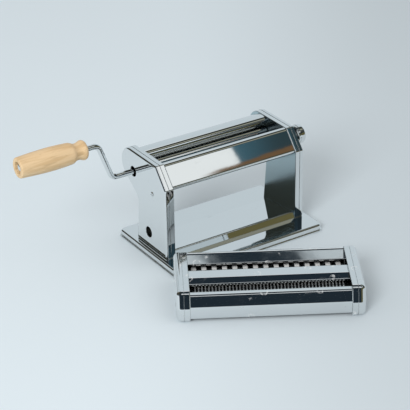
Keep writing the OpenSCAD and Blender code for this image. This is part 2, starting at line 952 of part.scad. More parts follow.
module adjusting_knob() {
  r = knob_d / 2;
  rim = [[r, knob_in, 0, 1], [r, knob_out, knob_round, 6], [0, knob_out, 0, 1]];
  color(chrome)
    difference() {
      spun_x([-rod_y, rod_z])
        difference() {
          polygon(concat([[0, knob_in]], path(rim, 0)));
          translate([r + 0.5, knob_in + 2])
            circle(r = 1);
        }
      rod_x(knob_in - cut, rod_in_knob, [-rod_y, rod_z], rod_d);
      stop_pin_at()
        rotate([0, 90, 0])
          cylinder(d = stop_pin_d, h = 3);
      translate([knob_in + 4.4, -rod_y, rod_z - r - cut])
        cylinder(d = 2.4, h = r + cut);
    }
}

// Stop pin's place on the knob's inner face at rest
module stop_pin_at() {
  translate([knob_in, -rod_y + stop_r * cos(stop_from), rod_z + stop_r * sin(stop_from)])
    children();
}

module knob_stop_pin() {
  reach = 1.3;
  color(steel)
    stop_pin_at()
      translate([-reach, 0, 0])
        rotate([0, 90, 0])
          cylinder(d = stop_pin_d, h = 3 + reach);
}

// Grub screw that locks the knob on its rod
module knob_screw() {
  color(steel)
    difference() {
      translate([knob_in + 4.4, -rod_y, rod_z - knob_d / 2 + 1])
        cylinder(d = 2.4, h = knob_d / 2 - 1);
      rod_x(knob_in - cut, rod_in_knob + cut, [-rod_y, rod_z], rod_d);
    }
}

// Crank and grip

// A straight rod from p to q, both [x, z] in the plane of the crank
module crank_straight(p, q) {
  v = q - p;
  translate([p.x, axle_y, p.y])
    rotate([0, atan2(v.x, v.y), 0])
      cylinder(d = crank_d, h = norm(v));
}

// The bend of the rod at q on its way from p to s
module crank_corner_bend(p, q, s) {
  u = unit(q - p);
  v = unit(s - q);
  side = bend(u, v) >= 0 ? 1 : -1;
  turn = acos(u * v);
  centre = q - u * crank_bend * tan(turn / 2) + left_of(u) * side * crank_bend;
  start = atan2(-left_of(u).y * side, -left_of(u).x * side);
  translate([centre.x, axle_y, centre.y])
    rotate([90, 0, 0])
      rotate([0, 0, min(start, start + side * turn)])
        rotate_extrude(angle = turn)
          translate([crank_bend, 0])
            circle(d = crank_d - bend_neck);
}

module crank_rod() {
  low = [crank_corner, axle_z];
  high = [crank_top, grip_z];
  tip = [-shaft_end + socket_round - 0.4, axle_z];
  far = [crank_end, grip_z];
  arm = unit(high - low);
  lap = 0.3;
  trim = crank_bend * tan((90 - atan((crank_corner - crank_top) / crank_rise)) / 2) - lap;
  square_w = socket_square - 4 * fit;
  color(chrome) {
    crank_straight(tip, low + [trim, 0]);
    crank_corner_bend(tip, low, high);
    crank_straight(low + arm * trim, high - arm * trim);
    crank_corner_bend(low, high, far);
    crank_straight(high - [trim, 0], far);
    translate([tip.x - 2 * lap, axle_y - square_w / 2, axle_z - square_w / 2])
      cube([crank_tip - tip.x + 2 * lap, square_w, square_w]);
    spun_x([axle_y, grip_z])
      polygon([[0, far.x + lap], [crank_d * 0.4, far.x + lap], [crank_d * 0.4, far.x], [crank_d * 0.7, far.x],
               [crank_d * 0.62, far.x - rod_head_t * 0.6], [crank_d * 0.3, far.x - rod_head_t],
               [0, far.x - rod_head_t]]);
  }
}

module grip_washer() {
  color(steel)
    tube_x(crank_end, crank_end + washer_t, [axle_y, grip_z], washer_d, crank_d);
}

// Radius of the grip at a share t of its length, from the crank's side to its far end
grip_shares = [0, 0.03, 0.09, 0.19, 0.29, 0.5, 1];
grip_widths = [0.6, 0.76, 0.86, 0.66, 0.95, 1, 0.88];
function eased(t) = (1 - cos(180 * t)) / 2;
function grip_radius(t) =
  let (i = max([for (k = [0:len(grip_shares) - 2]) if (grip_shares[k] <= t) k]),
       f = (t - grip_shares[i]) / (grip_shares[i + 1] - grip_shares[i]))
  grip_d / 2 * (grip_widths[i] + (grip_widths[i + 1] - grip_widths[i]) * eased(f));

module grip() {
  steps = 40;
  edge = 1.2;
  color(beech)
    difference() {
      spun_x([axle_y, grip_z])
        polygon(concat([[0, grip_right]],
                       [for (k = [0:steps - 1]) [grip_radius(k / steps), grip_right - grip_len * k / steps]],
                       [[grip_radius(1), grip_left + edge], [grip_radius(1) - edge, grip_left],
                        [0, grip_left]]));
      rod_x(grip_left - cut, grip_right + cut, [axle_y, grip_z], crank_d + 2 * fit);
      rod_x(grip_left - cut, grip_left + recess_deep, [axle_y, grip_z], recess_d);
    }
}

// Cutter head

module at_head() {
  translate([head_x, -head_y, 0])
    rotate([0, 0, head_yaw])
      children();
}

// Axes of a cutter pair in the head: side +1 is the wide pair, -1 the fine pair; outer and inner roller
function cutter_at(side, outer) =
  [side * (pair_offset + (outer ? 1 : -1) * pair_spacing / 2), cutter_h];

module at_cutters() {
  for (side = [-1, 1], outer = [true, false])
    let ($at = cutter_at(side, outer))
      children();
}

module head_plate() {
  bore = cutter_shaft_d + 2 * (fit + head_bush_wall);
  difference() {
    edge_plate(head_corners, head_in, head_seam, head_out - cap_round, head_plate_t, -reach);
    at_cutters()
      rod_x(head_in - cut, head_plate_out + cut, $at, bore);
    for (at = head_ties)
      rod_x(head_in - cut, head_plate_out + cut, at, head_tie_d - 1.4);
  }
}

head_ties = [[0, cutter_h + 4.5], [0, cutter_h - 6.5]];

module head_left_plate() {
  color(steel)
    at_head()
      mirror([1, 0, 0])
        head_plate();
}

module head_right_plate() {
  color(steel)
    at_head()
      head_plate();
}

module head_left_cap() {
  color(chrome)
    at_head()
      mirror([1, 0, 0])
        difference() {
          edge_cover(head_corners, head_seam, head_out, -reach, cap_round);
          for (side = [-1, 1])
            rod_x(head_cap_in - cut, head_out + cut, cutter_at(side, true), head_hole_d);
        }
}

module head_right_cap() {
  color(chrome)
    at_head()
      edge_cover(head_corners, head_seam, head_out, -reach, cap_round);
}

// Heights and places of the three covers between the end plates
slot_rise = 4.9;
slot_top = cutter_h + disc_d / 2 + slot_rise;
lip_h = 1.8;
cover_drop = 3.4;
cover_inset = 1.6;
lip_round = 1.5;
skirt_gap = 3.4;
front_lip = pair_offset + slot_w / 2 + 3.2;
front_top = head_h - cover_drop;
ridge_half = 6.5;
ridge_z = head_h - 0.3;
crown_y = head_back - 5.4;
crown_z = head_h + head_rise - 2.4;

// Front cover: lip, flat top, leaning face and upright skirt
module head_front_cover() {
  front = -head_front + cover_inset;
  color(chrome)
    at_head()
      bent_sheet(-head_in, head_in,
                 [[-front_lip, front_top - lip_h], [-front_lip, front_top, lip_round, 3],
                  [front + head_lean - cover_inset, front_top, 3, 4],
                  [front, head_skirt + sheet, 6, 3], [front, skirt_gap]], sheet);
}

// Rear cover: lip, slope, flat top and upright back
module head_rear_cover() {
  edge = -pair_offset - slot_w / 2;
  back = 1.2 - head_back;
  color(chrome)
    at_head()
      mirror([0, 1, 0])
        bent_sheet(-head_in, head_in,
                   [[edge, slot_top - lip_h], [edge, slot_top, lip_round, 3], [-crown_y, crown_z, 4, 3],
                    [back, crown_z + 0.8, 2.2, 4], [back, skirt_gap]], sheet);
}

// Middle cover: a low ridge with a flat top between the two slots
module head_middle_cover() {
  edge = pair_offset - slot_w / 2;
  color(chrome)
    at_head()
      bent_sheet(-head_in, head_in,
                 [[edge, slot_top - lip_h], [edge, slot_top, lip_round, 3], [ridge_half, ridge_z + 0.5, 3, 3],
                  [-ridge_half, ridge_z - 0.5, 3, 3], [-edge, slot_top - sheet, lip_round, 3],
                  [-edge, slot_top - sheet - lip_h]], sheet);
}

module head_tie_rods() {
  color(steel)
    at_head()
      for (at = head_ties) {
        rod_x(-head_in, head_in, at, head_tie_d);
        both_sides() {
          rod_x(head_in, head_plate_out, at, head_tie_d - 1.4);
          rod_x(head_plate_out, head_plate_out + 0.8, at, head_tie_d);
        }
      }
}

module head_bushes() {
  bore = cutter_shaft_d + 2 * fit;
  end = head_plate_out + head_bush_flange;
  color(brass)
    at_head()
      both_sides()
        at_cutters()
          difference() {
            union() {
              rod_x(head_in, end, $at, bore + 2 * head_bush_wall);
              rod_x(head_plate_out, end, $at, bore + 2 * head_bush_wall + 1.6);
            }
            rod_x(head_in - cut, end + cut, $at, bore);
          }
}

// Middles of n cutting discs a pitch apart
function disc_places(n, pitch) = [for (i = [0:n - 1]) (i - (n - 1) / 2) * pitch];

// Cutter roller turned from one piece: shaft ends, core and a row of cutting discs
module cutter_roller(at, n, strip, socket) {
  disc = strip - disc_play;
  core = head_in - 0.5;
  rs = cutter_shaft_d / 2;
  rg = groove_d / 2;
  rd = disc_d / 2;
  right = head_gear_x + head_gear_w;
  difference() {
    union() {
      spun_x(at)
        polygon(concat([[0, -head_shaft_end], [rs, -head_shaft_end], [rs, -core], [rg, -core]],
                       [for (x = disc_places(n, 2 * strip)) each
                         [[rg, x - disc / 2], [rd, x - disc / 2], [rd, x + disc / 2], [rg, x + disc / 2]]],
                       [[rg, core], [rs, core], [rs, head_gear_x], [0, head_gear_x]]));
      along_x(head_gear_x, right)
        translate(at)
          keyed_circle(cutter_shaft_d);
    }
    if (socket)
      rod_x(-head_shaft_end - cut, -head_shaft_end + socket_round, at, head_socket_d);
    if (socket)
      translate([-head_shaft_end + socket_round - cut, at.x - socket_square / 2, at.y - socket_square / 2])
        cube([socket_depth - socket_round + cut, socket_square, socket_square]);
  }
}

module head_gear(at, turn) {
  color(steel)
    at_head()
      gear_x_at(head_gear_x, head_gear_w, at, head_gear_teeth, pair_spacing / head_gear_teeth,
                cutter_shaft_d, turn);
}

module wide_cutter_a() {
  color(chrome)
    at_head()
      cutter_roller(cutter_at(1, true), wide_count, wide_strip, true);
}

module wide_cutter_b() {
  color(chrome)
    at_head()
      cutter_roller(cutter_at(1, false), wide_count - 1, wide_strip, false);
}

module fine_cutter_a() {
  color(chrome)
    at_head()
      cutter_roller(cutter_at(-1, true), fine_count, fine_strip, true);
}

module fine_cutter_b() {
  color(chrome)
    at_head()
      cutter_roller(cutter_at(-1, false), fine_count - 1, fine_strip, false);
}

module wide_gear_a() {
  head_gear(cutter_at(1, true), 180);
}

module wide_gear_b() {
  head_gear(cutter_at(1, false), 180 / head_gear_teeth);
}

module fine_gear_a() {
  head_gear(cutter_at(-1, true), 0);
}

module fine_gear_b() {
  head_gear(cutter_at(-1, false), 180 + 180 / head_gear_teeth);
}

// Strip under a cutter roller whose fingers reach into the grooves and peel the pasta off
module comb(at, n, strip) {
  finger = strip - disc_play;
  tip = at.y - groove_d / 2 - play;
  translate([-head_in, at.x - comb_w / 2, comb_low])
    cube([2 * head_in, comb_w, comb_t]);
  for (x = disc_places(n, 2 * strip))
    translate([x - finger / 2, at.x - finger_t / 2, comb_low])
      cube([finger, finger_t, tip - comb_low]);
}

module wide_combs() {
  color(steel)
    at_head() {
      comb(cutter_at(1, true), wide_count - 1, wide_strip);
      comb(cutter_at(1, false), wide_count, wide_strip);
    }
}

module fine_combs() {
  color(steel)
    at_head() {
      comb(cutter_at(-1, true), fine_count - 1, fine_strip);
      comb(cutter_at(-1, false), fine_count, fine_strip);
    }
}

base_plate();
base_screws();
floor_plate();
floor_screw();
left_inner_plate();
right_inner_plate();
left_outer_cover();
right_outer_cover();
cover_screws();
cover_posts();
clamp_socket();
front_cover();
rear_cover();
front_scraper();
rear_scraper();
tie_rods();
roller_bushes();
guide_pins();
rear_roller();
rear_shaft();
rear_gear();
rear_clip();
crank_rod();
grip_washer();
grip();
adjusting_rod();
left_cam();
right_cam();
adjusting_knob();
knob_stop_pin();
knob_screw();
rod_clip();
left_bearing_plate();
right_bearing_plate();
front_roller();
front_shaft();
front_gear();
front_clip();
head_left_plate();
head_right_plate();
head_left_cap();
head_right_cap();
head_rear_cover();
head_middle_cover();
head_front_cover();
head_tie_rods();
head_bushes();
wide_combs();
fine_combs();
wide_cutter_a();
wide_cutter_b();
wide_gear_a();
wide_gear_b();
fine_cutter_a();
fine_cutter_b();
fine_gear_a();
fine_gear_b();
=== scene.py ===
import json
import math

import bmesh
import bpy
from mathutils import Matrix, Vector


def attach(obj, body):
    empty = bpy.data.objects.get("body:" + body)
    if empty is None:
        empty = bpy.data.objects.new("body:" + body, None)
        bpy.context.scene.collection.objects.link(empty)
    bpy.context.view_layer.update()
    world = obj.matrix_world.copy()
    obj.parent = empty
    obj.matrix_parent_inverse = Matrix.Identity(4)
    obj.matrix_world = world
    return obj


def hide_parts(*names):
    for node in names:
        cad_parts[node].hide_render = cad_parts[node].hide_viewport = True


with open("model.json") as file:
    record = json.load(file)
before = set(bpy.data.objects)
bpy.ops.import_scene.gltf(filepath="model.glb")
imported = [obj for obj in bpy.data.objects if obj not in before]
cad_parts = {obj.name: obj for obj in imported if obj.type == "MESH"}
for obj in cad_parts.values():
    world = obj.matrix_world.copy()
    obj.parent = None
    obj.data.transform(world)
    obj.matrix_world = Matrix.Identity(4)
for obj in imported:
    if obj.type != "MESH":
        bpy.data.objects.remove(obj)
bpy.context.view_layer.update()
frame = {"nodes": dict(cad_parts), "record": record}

bl_info = {
    "name": "Pasta machine",
    "version": (1, 0, 0),
    "blender": (4, 5, 0),
    "location": "View3D > Sidebar > Pasta machine",
    "description": "Dresses a hand-cranked pasta machine and its cutter head in polished metal and beech",
    "category": "Object",
}

QUARTER = math.pi / 2
# Edges that bend more than this stay sharp or are rounded
SHARP = math.radians(32)
# Corners of a rectangle in shares of its half sides, anticlockwise
RECTANGLE = ((-1, -1), (1, -1), (1, 1), (-1, 1))


def length(name, description, default):
    return bpy.props.FloatProperty(
        name=name, description=description, default=default, unit="LENGTH", precision=5
    )


def tint(name, description, default):
    return bpy.props.FloatVectorProperty(
        name=name, description=description, default=default, size=3, subtype="COLOR", min=0, max=1
    )


def amount(name, description, default):
    return bpy.props.FloatProperty(
        name=name, description=description, default=default, min=0, max=1, subtype="FACTOR"
    )


class MachineSizes(bpy.types.PropertyGroup):
    """Sizes of the machine itself"""

    base_w: length("Base width", "Width of the base plate along the rollers", 0.188)
    base_d: length("Base depth", "Depth of the base plate from front to back", 0.118)
    base_h: length("Base height", "Height of the base plate's top above the table", 0.008)
    base_corner: length("Base corner", "Corner radius of the base plate in plan", 0.007)
    base_edge: length("Base edge", "Radius of the base plate's rolled upper edge", 0.0024)
    base_sheet: length("Base sheet", "Sheet thickness of the base plate", 0.0015)
    rim_w: length("Rim width", "How far the foot rim stands out of the base wall", 0.0014)
    rim_h: length("Rim height", "Height of the foot rim", 0.002)
    inner_span: length("Panel distance", "Clear distance between the side panels", 0.152)
    panel_t: length("Panel thickness", "Inner plate and outer cover together", 0.0109)
    panel_h: length("Panel height", "Height of the side panels above the base", 0.0998)
    panel_front: length("Panel front", "Distance of the panels' front edge from the middle", 0.030)
    panel_rear: length("Panel rear", "Distance of the panels' foot at the back from the middle", 0.0294)
    knee_h: length("Knee height", "Height of the slanted facet's lower edge above the base", 0.0783)
    facet_y: length("Facet place", "Distance of the facet's upper edge in front of the middle", 0.012)
    lobe_y: length("Lobe place", "Place of the panels' round lobe behind the middle", 0.0394)
    lobe_r: length("Lobe radius", "Radius of the panels' round lobe", 0.018)
    sheet: length("Sheet", "Sheet thickness of covers and flanges", 0.001)
    plate_t: length("Plate", "Thickness of the inner plates", 0.0015)
    seam_w: length("Seam", "Open seam between plate and cover", 0.0004)
    cover_round: length("Cover rim", "Radius of the outer cover's rounded rim", 0.0026)
    roller_d: length("Roller diameter", "Diameter of the smooth rollers", 0.027)
    axle_y: length("Rear axis", "Place of the rear roller's axis behind the middle", 0.0325)
    axle_z: length("Axis height", "Height of the roller axes above the table", 0.0845)
    front_y: length("Front axis", "Place of the front roller's axis, rollers apart", 0.003)
    travel: length("Gap travel", "How far the front roller moves towards the rear one", 0.0022)
    shaft_d: length("Shaft diameter", "Diameter of the roller shafts", 0.012)


class CrankSizes(bpy.types.PropertyGroup):
    """Sizes of the crank, its grip and the knob"""

    rod_d: length("Rod diameter", "Diameter of the bent crank rod", 0.006)
    corner_x: length("First bend", "Place of the first bend along the rollers", -0.1124)
    rise: length("Crank radius", "From the roller axis to the grip's axis", 0.0403)
    slant: length("Slant", "How far the arm leans outward over its rise", 0.01467)
    bend: length("Bend radius", "Bend radius of the rod on its centre line", 0.008)
    grip_gap: length("Bare rod", "Rod between the second bend's corner and the grip", 0.0148)
    grip_len: length("Grip length", "Length of the turned grip", 0.0764)
    grip_d: length("Grip diameter", "Largest diameter of the grip", 0.0244)
    knob_d: length("Knob diameter", "Diameter of the adjusting knob", 0.021)
    knob_len: length("Knob length", "Length of the adjusting knob", 0.0093)
    knob_y: length("Knob place", "Place of the adjusting rod behind the middle", -0.011)
    knob_z: length("Knob height", "Height of the adjusting rod above the table", 0.0964)


class CutterSizes(bpy.types.PropertyGroup):
    """Sizes of the cutter head"""

    head_len: length("Head length", "Length over the end caps", 0.1858)
    head_front: length("Head front", "Distance of the front face from the middle of the slots", 0.041)
    head_back: length("Head back", "Distance of the back from the middle of the slots", 0.039)
    head_h: length("Head height", "Height of the head's top at its front", 0.031)
    head_rise: length("Head rise", "How much higher the head is at its back", 0.006)
    head_lean: length("Head lean", "How far the upper part of the front face leans back", 0.0055)
    head_skirt: length("Head skirt", "Height of the upright part of the front face", 0.0143)
    cap_w: length("Cap width", "Width of one end cap", 0.0139)
    cap_round: length("Cap rim", "Radius of the end caps' rounded rim", 0.006)
    head_x: length("Head place X", "Where the head's middle stands along the rollers", -0.0372)
    head_y: length("Head place Y", "Where the head's middle stands behind the middle", -0.1409)
    pair_offset: length("Pair offset", "Distance of each cutter pair from the head's middle", 0.019)
    pair_spacing: length("Pair spacing", "Distance between the axes of a pair", 0.015)
    row_len: length("Row length", "Length that a row of discs may fill", 0.152)
    disc_d: length("Disc diameter", "Diameter of the cutting discs", 0.016)
    groove_d: length("Groove diameter", "Diameter at the bottom of the grooves", 0.012)
    cutter_z: length("Cutter height", "Height of the cutter axes", 0.0145)
    wide_strip: length("Wide strip", "Width of the wide strips", 0.0052)
    fine_strip: length("Fine strip", "Width of the fine strips", 0.0017)
    disc_play: length("Disc play", "Side clearance between neighbouring discs", 0.0003)
    slot_w: length("Slot width", "Width of each feed slot", 0.0126)


class Finishes(bpy.types.PropertyGroup):
    """Colours and polish"""

    chrome: tint("Chrome", "Colour of the polished plating", (0.78, 0.80, 0.805))
    roller: tint("Rollers", "Colour of the rollers", (0.66, 0.67, 0.66))
    cutter: tint("Cutters", "Colour of the cutting discs", (0.82, 0.83, 0.82))
    cover_back: tint("Cover's back", "Colour of the rear cover's inner side", (0.42, 0.41, 0.33))
    plate: tint("Plate steel", "Colour of the inner plates", (0.5, 0.62, 0.66))
    steel: tint("Turned steel", "Colour of shafts, screws and gears", (0.50, 0.515, 0.525))
    brass: tint("Brass", "Colour of bushes, cams and bearing plates", (0.70, 0.50, 0.22))
    beech_pale: tint("Pale beech", "Light wood of the grip", (0.78, 0.57, 0.335))
    beech_dark: tint("Dark beech", "Grain of the grip", (0.60, 0.40, 0.20))
    table: tint("Table", "Pale table under the machine", (0.70, 0.785, 0.835))
    polish: amount("Polish", "Roughness of the cleanest chrome", 0.035)
    smudges: amount("Smudges", "How much handling dulls the chrome", 0.5)


# Plane outlines. A corner is (across, up, radius, steps).


def arc(across, up, radius, start, sweep, steps):
    """Points on an arc about a centre, from the start angle through the sweep."""
    turns = [start + sweep * k / steps for k in range(steps + 1)]
    return [(across + radius * math.cos(a), up + radius * math.sin(a)) for a in turns]


def corner_arc(before, corner, after, inset):
    """Points round one corner, moved to the left of the way by inset."""
    least_radius = 0.0004
    arriving = Vector((corner[0] - before[0], corner[1] - before[1])).normalized()
    leaving = Vector((after[0] - corner[0], after[1] - corner[1])).normalized()
    side = 1 if arriving.x * leaving.y - arriving.y * leaving.x >= 0 else -1
    turn = math.acos(max(-1.0, min(1.0, arriving.dot(leaving))))
    radius = max(corner[2], side * inset + least_radius)
    inward = Vector((-arriving.y, arriving.x)) * side
    centre = Vector(corner[:2]) - arriving * radius * math.tan(turn / 2) + inward * radius
    start = math.atan2(-inward.y, -inward.x)
    return arc(centre.x, centre.y, radius - side * inset, start, side * turn, corner[3])


def closed_outline(corners, inset):
    points = []
    for i, corner in enumerate(corners):
        points += corner_arc(corners[i - 1], corner, corners[(i + 1) % len(corners)], inset)
    return points


def open_outline(corners, inset):
    first = Vector((corners[1][0] - corners[0][0], corners[1][1] - corners[0][1])).normalized()
    last = Vector((corners[-1][0] - corners[-2][0], corners[-1][1] - corners[-2][1])).normalized()
    points = [(corners[0][0] - first.y * inset, corners[0][1] + first.x * inset)]
    for i in range(1, len(corners) - 1):
        points += corner_arc(corners[i - 1], corners[i], corners[i + 1], inset)
    points.append((corners[-1][0] - last.y * inset, corners[-1][1] + last.x * inset))
    return points


def smooth_curve(places, values, at):
    """Value at one place of a smooth curve through the given values."""
    last = len(places) - 1

    def slope(i):
        before, after = max(i - 1, 0), min(i + 1, last)
        return (values[after] - values[before]) / (places[after] - places[before])

    i = max(j for j in range(last) if places[j] <= at)
    span = places[i + 1] - places[i]
    f = (at - places[i]) / span
    return ((1 + 2 * f) * (1 - f) ** 2 * values[i] + f * (1 - f) ** 2 * span * slope(i)
            + f * f * (3 - 2 * f) * values[i + 1] + f * f * (f - 1) * span * slope(i + 1))


# Meshes. A solid is a list of points and a list of faces.


def loft(rings):
    """A closed solid through rings of equally many points."""
    n = len(rings[0])
    points = [p for ring in rings for p in ring]
    faces = [tuple(range(n)), tuple(range(len(points) - n, len(points)))]
    for j in range(len(rings) - 1):
        for i in range(n):
            k = (i + 1) % n
            faces.append((j * n + i, j * n + k, (j + 1) * n + k, (j + 1) * n + i))
    return points, faces


def extruded(outline, x0, x1):
    """A straight bar along X of an outline in Y and Z."""
    return loft([[(x, y, z) for y, z in outline] for x in (x0, x1)])


def block(x0, x1, y, z, half_y, half_z):
    return extruded([(y + p * half_y, z + q * half_z) for p, q in RECTANGLE], x0, x1)


def pressed(corners, profile, along_x=True):
    """A solid along X or Z whose outline is drawn in by inset at each (inset, level) of a profile."""
    rings = []
    for inset, level in profile:
        outline = closed_outline(corners, inset)
        rings.append([(level, a, b) if along_x else (a, b, level) for a, b in outline])
    return loft(rings)


def bent_sheet(path, half, t):
    """Sheet metal from -half to half along an open path in Y and Z, its thickness on the path's left."""
    return extruded(open_outline(path, 0) + open_outline(path, t)[::-1], -half, half)


def turned(profile, y, z, steps=64, hollow=False):
    """A profile of (radius, x) turned about the X direction through y, z; a hollow one closes on itself."""
    points, faces, rows = [], [], []
    for radius, x in profile:
        if radius == 0:
            rows.append([len(points)] * steps)
            points.append((x, y, z))
            continue
        rows.append(list(range(len(points), len(points) + steps)))
        for k in range(steps):
            a = 2 * math.pi * k / steps
            points.append((x, y + radius * math.cos(a), z + radius * math.sin(a)))
    pairs = list(zip(rows, rows[1:]))
    if hollow:
        pairs.append((rows[-1], rows[0]))
    for low, high in pairs:
        for k in range(steps):
            m = (k + 1) % steps
            face = []
            for p in (low[k], low[m], high[m], high[k]):
                if p not in face:
                    face.append(p)
            if len(face) > 2:
                faces.append(tuple(face))
    return points, faces


def swept(path, radius, steps):
    """A round rod along a path that stays in one plane of constant Y."""
    rings = []
    side = Vector((0, 1, 0))
    for i, p in enumerate(path):
        ahead = (path[min(i + 1, len(path) - 1)] - path[max(i - 1, 0)]).normalized()
        up = ahead.cross(side)
        turns = (2 * math.pi * k / steps for k in range(steps))
        rings.append([tuple(p + radius * (math.cos(a) * side + math.sin(a) * up)) for a in turns])
    return loft(rings)


def drill_x(x0, x1, y, z, d):
    """Closed round tool along X."""
    return turned([(0, x0), (d / 2, x0), (d / 2, x1), (0, x1)], y, z, 48)


def straight_slot(x0, x1, y0, y1, z, width):
    """Closed tool for a slot with round ends about y0 and y1."""
    ends = arc(y1, z, width / 2, -QUARTER, math.pi, 8) + arc(y0, z, width / 2, QUARTER, math.pi, 8)
    return extruded(ends, x0, x1)


def arc_slot(x0, x1, y, z, radius, width, start, sweep):
    """Closed tool for a curved slot about y, z."""
    half, stop = width / 2, start + sweep
    edge = arc(y, z, radius + half, start, sweep, 12)
    edge += arc(y + radius * math.cos(stop), z + radius * math.sin(stop), half, stop, math.pi, 8)[1:-1]
    edge += arc(y, z, radius - half, stop, -sweep, 12)
    edge += arc(y + radius * math.cos(start), z + radius * math.sin(start), half, start + math.pi,
                math.pi, 8)[1:-1]
    return extruded(edge, x0, x1)


def screw(stem_r, stem_end, seat, dome, y, z, steps):
    """Stem and domed head of a screw along X; dome holds (radius, height above the seat)."""
    profile = [(0, stem_end), (stem_r, stem_end), (stem_r, seat)]
    return turned(profile + [(radius, seat + height) for radius, height in dome], y, z, steps)


def joined(*solids):
    points, faces = [], []
    for more_points, more_faces in solids:
        faces += [tuple(i + len(points) for i in face) for face in more_faces]
        points += more_points
    return points, faces


def unmoved(solid):
    return solid


def mirrored(solid):
    return [(-x, y, z) for x, y, z in solid[0]], solid[1]


# A right-hand solid stays as it is made, and a left-hand one is its mirror image
SIDES = {"right": unmoved, "left": mirrored}


def moved(solid, matrix):
    return [tuple(matrix @ Vector(p)) for p in solid[0]], solid[1]


# Pieces in the scene


def new_object(name, solid):
    mesh = bpy.data.meshes.new(name)
    mesh.from_pydata(solid[0], [], solid[1])
    bm = bmesh.new()
    bm.from_mesh(mesh)
    bmesh.ops.remove_doubles(bm, verts=bm.verts, dist=1e-7)
    bmesh.ops.recalc_face_normals(bm, faces=bm.faces)
    bm.to_mesh(mesh)
    bm.free()
    piece = bpy.data.objects.new(name, mesh)
    bpy.context.scene.collection.objects.link(piece)
    return piece


def drill(piece, tools):
    """Cuts closed tool solids out of a piece."""
    for tool in tools:
        cutter = new_object("drill", tool)
        cutting = piece.modifiers.new("drill", "BOOLEAN")
        cutting.object = cutter
        cutting.solver = "EXACT"
        ready = piece.evaluated_get(bpy.context.evaluated_depsgraph_get())
        mesh = bpy.data.meshes.new_from_object(ready)
        piece.modifiers.clear()
        piece.data = mesh
        bpy.data.objects.remove(cutter)


def smooth(piece):
    """Smooth shading that keeps sharp edges."""
    bm = bmesh.new()
    bm.from_mesh(piece.data)
    for face in bm.faces:
        face.smooth = True
    for edge in bm.edges:
        edge.smooth = len(edge.link_faces) == 2 and edge.calc_face_angle(0) < SHARP
    bm.to_mesh(piece.data)
    bm.free()


def even_shading(piece):
    piece.modifiers.new("even shading", "WEIGHTED_NORMAL").keep_sharp = True


def place(piece, body, nodes, material, bevel=0.0002):
    """Rounds a piece's sharp edges, gives it its finish and puts it in the place of its CAD nodes."""
    smooth(piece)
    if bevel:
        edges = piece.modifiers.new("edges", "BEVEL")
        edges.width = bevel
        edges.segments = 2
        edges.limit_method = "ANGLE"
        edges.angle_limit = SHARP
        edges.use_clamp_overlap = True
        even_shading(piece)
    piece.data.materials.clear()
    piece.data.materials.append(finish(material))
    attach(piece, body)
    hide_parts(*nodes)
    return piece


def finish_faces(piece, material, chosen):
    """Gives a second finish to the faces whose centres are chosen."""
    piece.data.materials.append(finish(material))
    last = len(piece.data.materials) - 1
    for face in piece.data.polygons:
        if chosen(face.center):
            face.material_index = last


# Shader nodes


def node_group(name, inputs, outputs):
    """A new group whose sockets are all numbers, with its input and output nodes."""
    group = bpy.data.node_groups.new(name, "ShaderNodeTree")
    for label, default in inputs.items():
        socket = group.interface.new_socket(name=label, in_out="INPUT", socket_type="NodeSocketFloat")
        socket.default_value = default
    for label in outputs:
        group.interface.new_socket(name=label, in_out="OUTPUT", socket_type="NodeSocketFloat")
    return group, group.nodes.new("NodeGroupInput"), group.nodes.new("NodeGroupOutput")


def math_node(tree, operation, a, b=None, clamp=False):
    made = tree.nodes.new("ShaderNodeMath")
    made.operation = operation
    made.use_clamp = clamp
    for socket, value in zip(made.inputs, (a, b)):
        if isinstance(value, bpy.types.NodeSocket):
            tree.links.new(value, socket)
        elif value is not None:
            socket.default_value = value
    return made.outputs[0]


def product(tree, first, *others):
    for other in others:
        first = math_node(tree, "MULTIPLY", first, other)
    return first


def ramp(tree, value, low, high):
    """Fades smoothly from 0 at low to 1 at high."""
    made = tree.nodes.new("ShaderNodeMapRange")
    made.interpolation_type = "SMOOTHSTEP"
    tree.links.new(value, made.inputs["Value"])
    made.inputs["From Min"].default_value = low
    made.inputs["From Max"].default_value = high
    return made.outputs["Result"]


def object_place(tree):
    return tree.nodes.new("ShaderNodeTexCoord").outputs["Object"]


def split(tree, vector):
    """The X, Y and Z parts of a vector."""
    made = tree.nodes.new("ShaderNodeSeparateXYZ")
    tree.links.new(vector, made.inputs[0])
    return made.outputs


def noise(tree, where, scale, detail, roughness=0.5, stretch=(1, 1, 1)):
    mapping = tree.nodes.new("ShaderNodeMapping")
    mapping.inputs["Scale"].default_value = stretch
    tree.links.new(where, mapping.inputs["Vector"])
    made = tree.nodes.new("ShaderNodeTexNoise")
    made.inputs["Scale"].default_value = scale
    made.inputs["Detail"].default_value = detail
    made.inputs["Roughness"].default_value = roughness
    tree.links.new(mapping.outputs["Vector"], made.inputs["Vector"])
    return made.outputs["Fac"]


def mix_colour(tree, factor, a, b):
    made = tree.nodes.new("ShaderNodeMix")
    made.data_type = "RGBA"
    tree.links.new(factor, made.inputs["Factor"])
    for socket, value in ((made.inputs["A"], a), (made.inputs["B"], b)):
        if isinstance(value, bpy.types.NodeSocket):
            tree.links.new(value, socket)
        else:
            socket.default_value = (*value, 1)
    return made.outputs["Result"]


def bump(tree, height, strength, distance):
    made = tree.nodes.new("ShaderNodeBump")
    made.inputs["Strength"].default_value = strength
    made.inputs["Distance"].default_value = distance
    tree.links.new(height, made.inputs["Height"])
    return made.outputs["Normal"]


def use_group(tree, group, **values):
    made = tree.nodes.new("ShaderNodeGroup")
    made.node_tree = group
    for label, value in values.items():
        made.inputs[label].default_value = value
    return made.outputs


def darker(colour, share):
    return tuple(share * part for part in colour)


# Finishes


